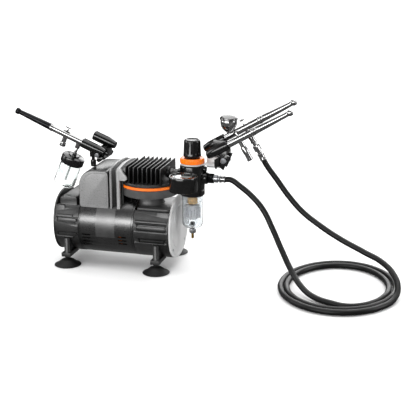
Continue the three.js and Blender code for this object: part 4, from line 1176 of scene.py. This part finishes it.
def makeTrigger(key):
    # a stalk that narrows upwards under a dished button
    look = brushes[key]
    top, valve = look["top"], look["valve"]
    stalk = block("stalk", (-0.4, -1.5, -1.8), (10.8, 1.5, 1.8))
    pick(stalk, "FACE", lambda c, n: n.x > 0.9)
    bpy.ops.transform.resize(value=(1, 0.7, 0.62))
    done()
    rounded(stalk, 0.4, 2)
    button = turned("button", [(0, 10.5), (3.2, 10.5), (3.9, 11.1), (4.0, 11.9), (3.6, 12.5), (3.0, 12.6),
                               (1.8, 12.2), (0, 12.0)], frameAt((0, 0, 0), (1, 0, 0)), 48)
    trigger = joined([stalk, button], "trigger")
    place = socketFrame(look["socket"], look["seat"]) @ frameAt((0, 0, valve), (0, 0, top), (top, 0, 0))
    return smooth(settle(trigger, "trigger_" + key, place), smallAngle)


def makeHandle(key):
    # a long taper behind the body, flared at its tip
    look = brushes[key]
    start, long = look["valve"] + 25.3, look["long"]
    handle = turned("handle", [(0, start), (4.5, start), (4.9, start + 0.5), (4.9, start + 2.2), (4.6, start + 2.6),
                               (4.75, start + 3.2), (4.55, start + 12), (4.1, (start + long) / 2), (3.5, long - 10),
                               (3.3, long - 7),
                               (3.5, long - 6.2), (4.3, long - 5.2), (4.5, long - 4.2), (4.5, long - 1.2),
                               (4.1, long - 0.5), (3.4, long - 0.3), (0, long - 0.3)], steps=64)
    return smooth(settle(handle, "handle_" + key, socketFrame(look["socket"], look["seat"])), 60)


def cupPlace():
    # the cup stands upright on a leaning body
    place = socketFrame("holder_socket_a", brushes["a"]["seat"])
    return Matrix.Translation(place @ (Vector((-4, 0, 34)) * mm))


bodies = {key: makeAirbrush(key) for key in brushes}
body, place = bodies["a"]
settle(body, "airbrush_a", place)
cup = turned("cup", [(0, 0), (3, 0), (3.2, 1.2), (4.6, 2.4), (7, 4.4), (9, 6.8), (10.5, 9.4), (11.3, 12),
                     (11.6, 14.6), (11.6, 18.5), (11.3, 19), (10.8, 19), (10.7, 14), (10.2, 11.6), (9, 8.8),
                     (7.2, 6.4), (4.4, 4.4), (2.2, 3.6), (0, 3.5)], cupPlace(), 96)
cutBy(body, cup, how="UNION")
dress(smooth(body, smallAngle), "chromePlate", "airbrush_a", ["airbrush_a_body"])
lid = turned("cup_lid", [(0, 19.3), (12.2, 19.3), (12.6, 19.8), (12.6, 21.4), (12.2, 22.2), (10.2, 23.8),
                         (7.4, 25.1), (3.8, 26.1), (0, 26.4)], cupPlace(), 96)
dress(smooth(lid, 45), "satinChrome", "lid_a", ["airbrush_a_lid"])

body, place = bodies["b"]
settle(body, "airbrush_b", place)
dress(body, "chromePlate", "airbrush_b", ["airbrush_b_body"])

# the hose's nut and grip, screwed onto the first airbrush's air valve
place = bodies["a"][1]
nut = hexBar("hose_nut", 9.6, (28, 0, 0), (37, 0, 0), 0.6)
grip = turned("hose_sleeve", [(0, 23.8), (3.2, 23.8), (3.2, 40.6), (4.0, 41), (4.6, 41.8), (4.6, 43.4), (4.3, 44),
                              (4.3, 49.4), (4.6, 50), (4.6, 51.4), (4.3, 52), (0, 52)],
              frameAt((0, 0, 0), (1, 0, 0)), 48)
grip = settle(joined([nut, grip], "hose_nut"), "hose_nut", place @ shifted(0, 0, brushes["a"]["valve"]))
dress(smooth(grip, smallAngle), "chromePlate", "airbrush_a")

body, place = bodies["c"]
settle(body, "airbrush_c", place)
bottle = {"stem": 31.5, "top": -24, "long": 45.5}
stem = turned("siphon", [(0, 0), (3.6, 0), (3.6, 8), (3.2, 8.6), (3.2, 9.4), (3.6, 10), (3.6, 11), (0, 11)],
              place @ frameAt((0, 0, bottle["stem"]), (-1, 0, 0)), 40)
cutBy(body, stem, how="UNION")
dress(smooth(body, smallAngle), "chromePlate", "airbrush_c", ["airbrush_c_body"])
for key in brushes:
    dress(makeTrigger(key), "chromePlate", "trigger_" + key, ["airbrush_%s_trigger" % key])
    dress(makeHandle(key), "blackAnodised" if key == "c" else "chromePlate", "airbrush_" + key,
          ["airbrush_%s_handle" % key])


def bottlePlace():
    return place @ frameAt((bottle["top"], 0, bottle["stem"]), (-1, 0, 0))


def makeBottle():
    # a ribbed cap, the tube that draws up the paint, and the glass
    n = bottle["long"]
    cap = turned("bottle_cap", [(0, -2), (7.4, -2), (8, -1.5), (8, -0.2), (8.6, 0.2), (14.8, 0.5), (16, 1), (16.4, 2),
                                (16.4, 10.6), (16.1, 11.3), (15, 11.5), (15, 2.8), (0, 2.8)], steps=96)
    ribs = ringOf(rod("rib", 0.45, (16.15, 0, 2), (16.15, 0, 10.6), 8), 48)
    cap = settle(joined([cap] + ribs, "bottle_cap"), "bottle_cap", bottlePlace())
    dress(smooth(cap, 40), "glossBlackAbs", "bottle_c", ["airbrush_c_cap"])
    straw = turned("siphon_tube", [(0, -12.6), (2.0, -12.6), (2.2, -12.2), (2.2, -5.4), (2.9, -4.8), (3.4, -3.6),
                                   (2.9, -2.2), (2.0, -1.9), (1.4, 3), (1.4, n - 6), (0, n - 6)], bottlePlace(), 40)
    dress(smooth(straw, 50), "chromePlate", "bottle_c")
    jar = turned("bottle", [(10.5, 3.2), (14, 3.2), (14, 10.8), (14.2, 12), (14.9, 14.4), (15.4, 17), (15.4, n - 3.4),
                            (15.1, n - 2), (14.3, n - 0.8), (13, n), (3, n - 0.5), (0, n - 0.9), (0, n - 2.4),
                            (3, n - 2.1), (12.2, n - 1.7), (13.2, n - 2.6), (13.7, n - 4), (13.7, 17.4), (13.1, 15),
                            (12, 12.6), (10.9, 10), (10.5, 8)], bottlePlace(), 112, closed=True)
    dress(smooth(jar, 50), "clearGlass", "bottle_c", ["airbrush_c_jar"])


makeBottle()
print("airbrushes made")
for one in screws:
    dress(one, "zincSteel", base)


def makeSwitch():
    # a rocker in a frame on the rear of the cover
    low, high = span("power_switch")
    x0, x1, z0, z1 = low.x, high.x, low.z, high.z
    back, face = low.y + 0.4, high.y - 0.2
    rocker = pulled("switch_rocker", [(back, z0 + 2), (face - 2.2, z0 + 2), (face, z0 + 3), (face - 0.9, z0 + 6),
                                      (face - 1.5, (z0 + z1) / 2), (face - 1.4, z1 - 6), (face - 0.6, z1 - 2.4),
                                      (face - 2.4, z1 - 2), (back, z1 - 2)], x1 - x0 - 4.4, endOn, base=x0 + 2.2)
    dress(rounded(rocker, 0.4, 3, 20), "glossBlackAbs", "switch", ["power_switch"])
    surround = block("switch_frame", (x0 - 0.9, 35.4, z0 - 0.9), (x1 + 0.9, 37.9, z1 + 0.9))
    cutBy(surround, block("window", (x0 + 1.9, 30, z0 + 1.7), (x1 - 1.9, 45, z1 - 1.7)))
    dress(rounded(surround, 0.5, 2), "texturedNylon", base)


def makeGland():
    # the mains lead enters through a ribbed sleeve; the lead itself is left out
    low, high = span("mains_gland")
    x, z, n = (low.x + high.x) / 2, (low.z + high.z) / 2, high.y - low.y
    profile = [(2.9, 0), (5.9, 0), (5.9, 2.6), (5.2, 3.0), (4.6, 3.4)]
    for i in range(3):
        at = 3.6 + i * (n - 3.8) / 3
        outer, inner = 4.6 - 0.3 * i, 3.9 - 0.2 * i
        profile += [(outer, at), (outer, at + 1.1), (inner, at + 1.3), (inner, at + 1.7)]
    profile += [(3.9, n), (2.9, n)]
    gland = turned("mains_inlet", profile, frameAt((x, low.y, z), (0, 1, 0)), 64, closed=True)
    dress(smooth(gland, 40), "texturedNylon", base, ["mains_gland"])


makeSwitch()
makeGland()
print("switch and mains inlet made")

# the working parts inside keep their own shape
nodeFinish = {
    "piston_rod": "machinedAluminium", "valve_plate": "machinedAluminium", "stator": "enamelCopper",
    "fan": "glossBlackAbs", "capacitor": "glossBlackAbs", "rotor": "zincSteel", "crank_shaft": "zincSteel",
    "regulator_screw": "zincSteel", "regulator_spring": "zincSteel",
}
for name, node in nodes.items():
    for slot in node.material_slots:
        slot.material = finishes[nodeFinish.get(name, "texturedNylon")]
print("nodes dressed")
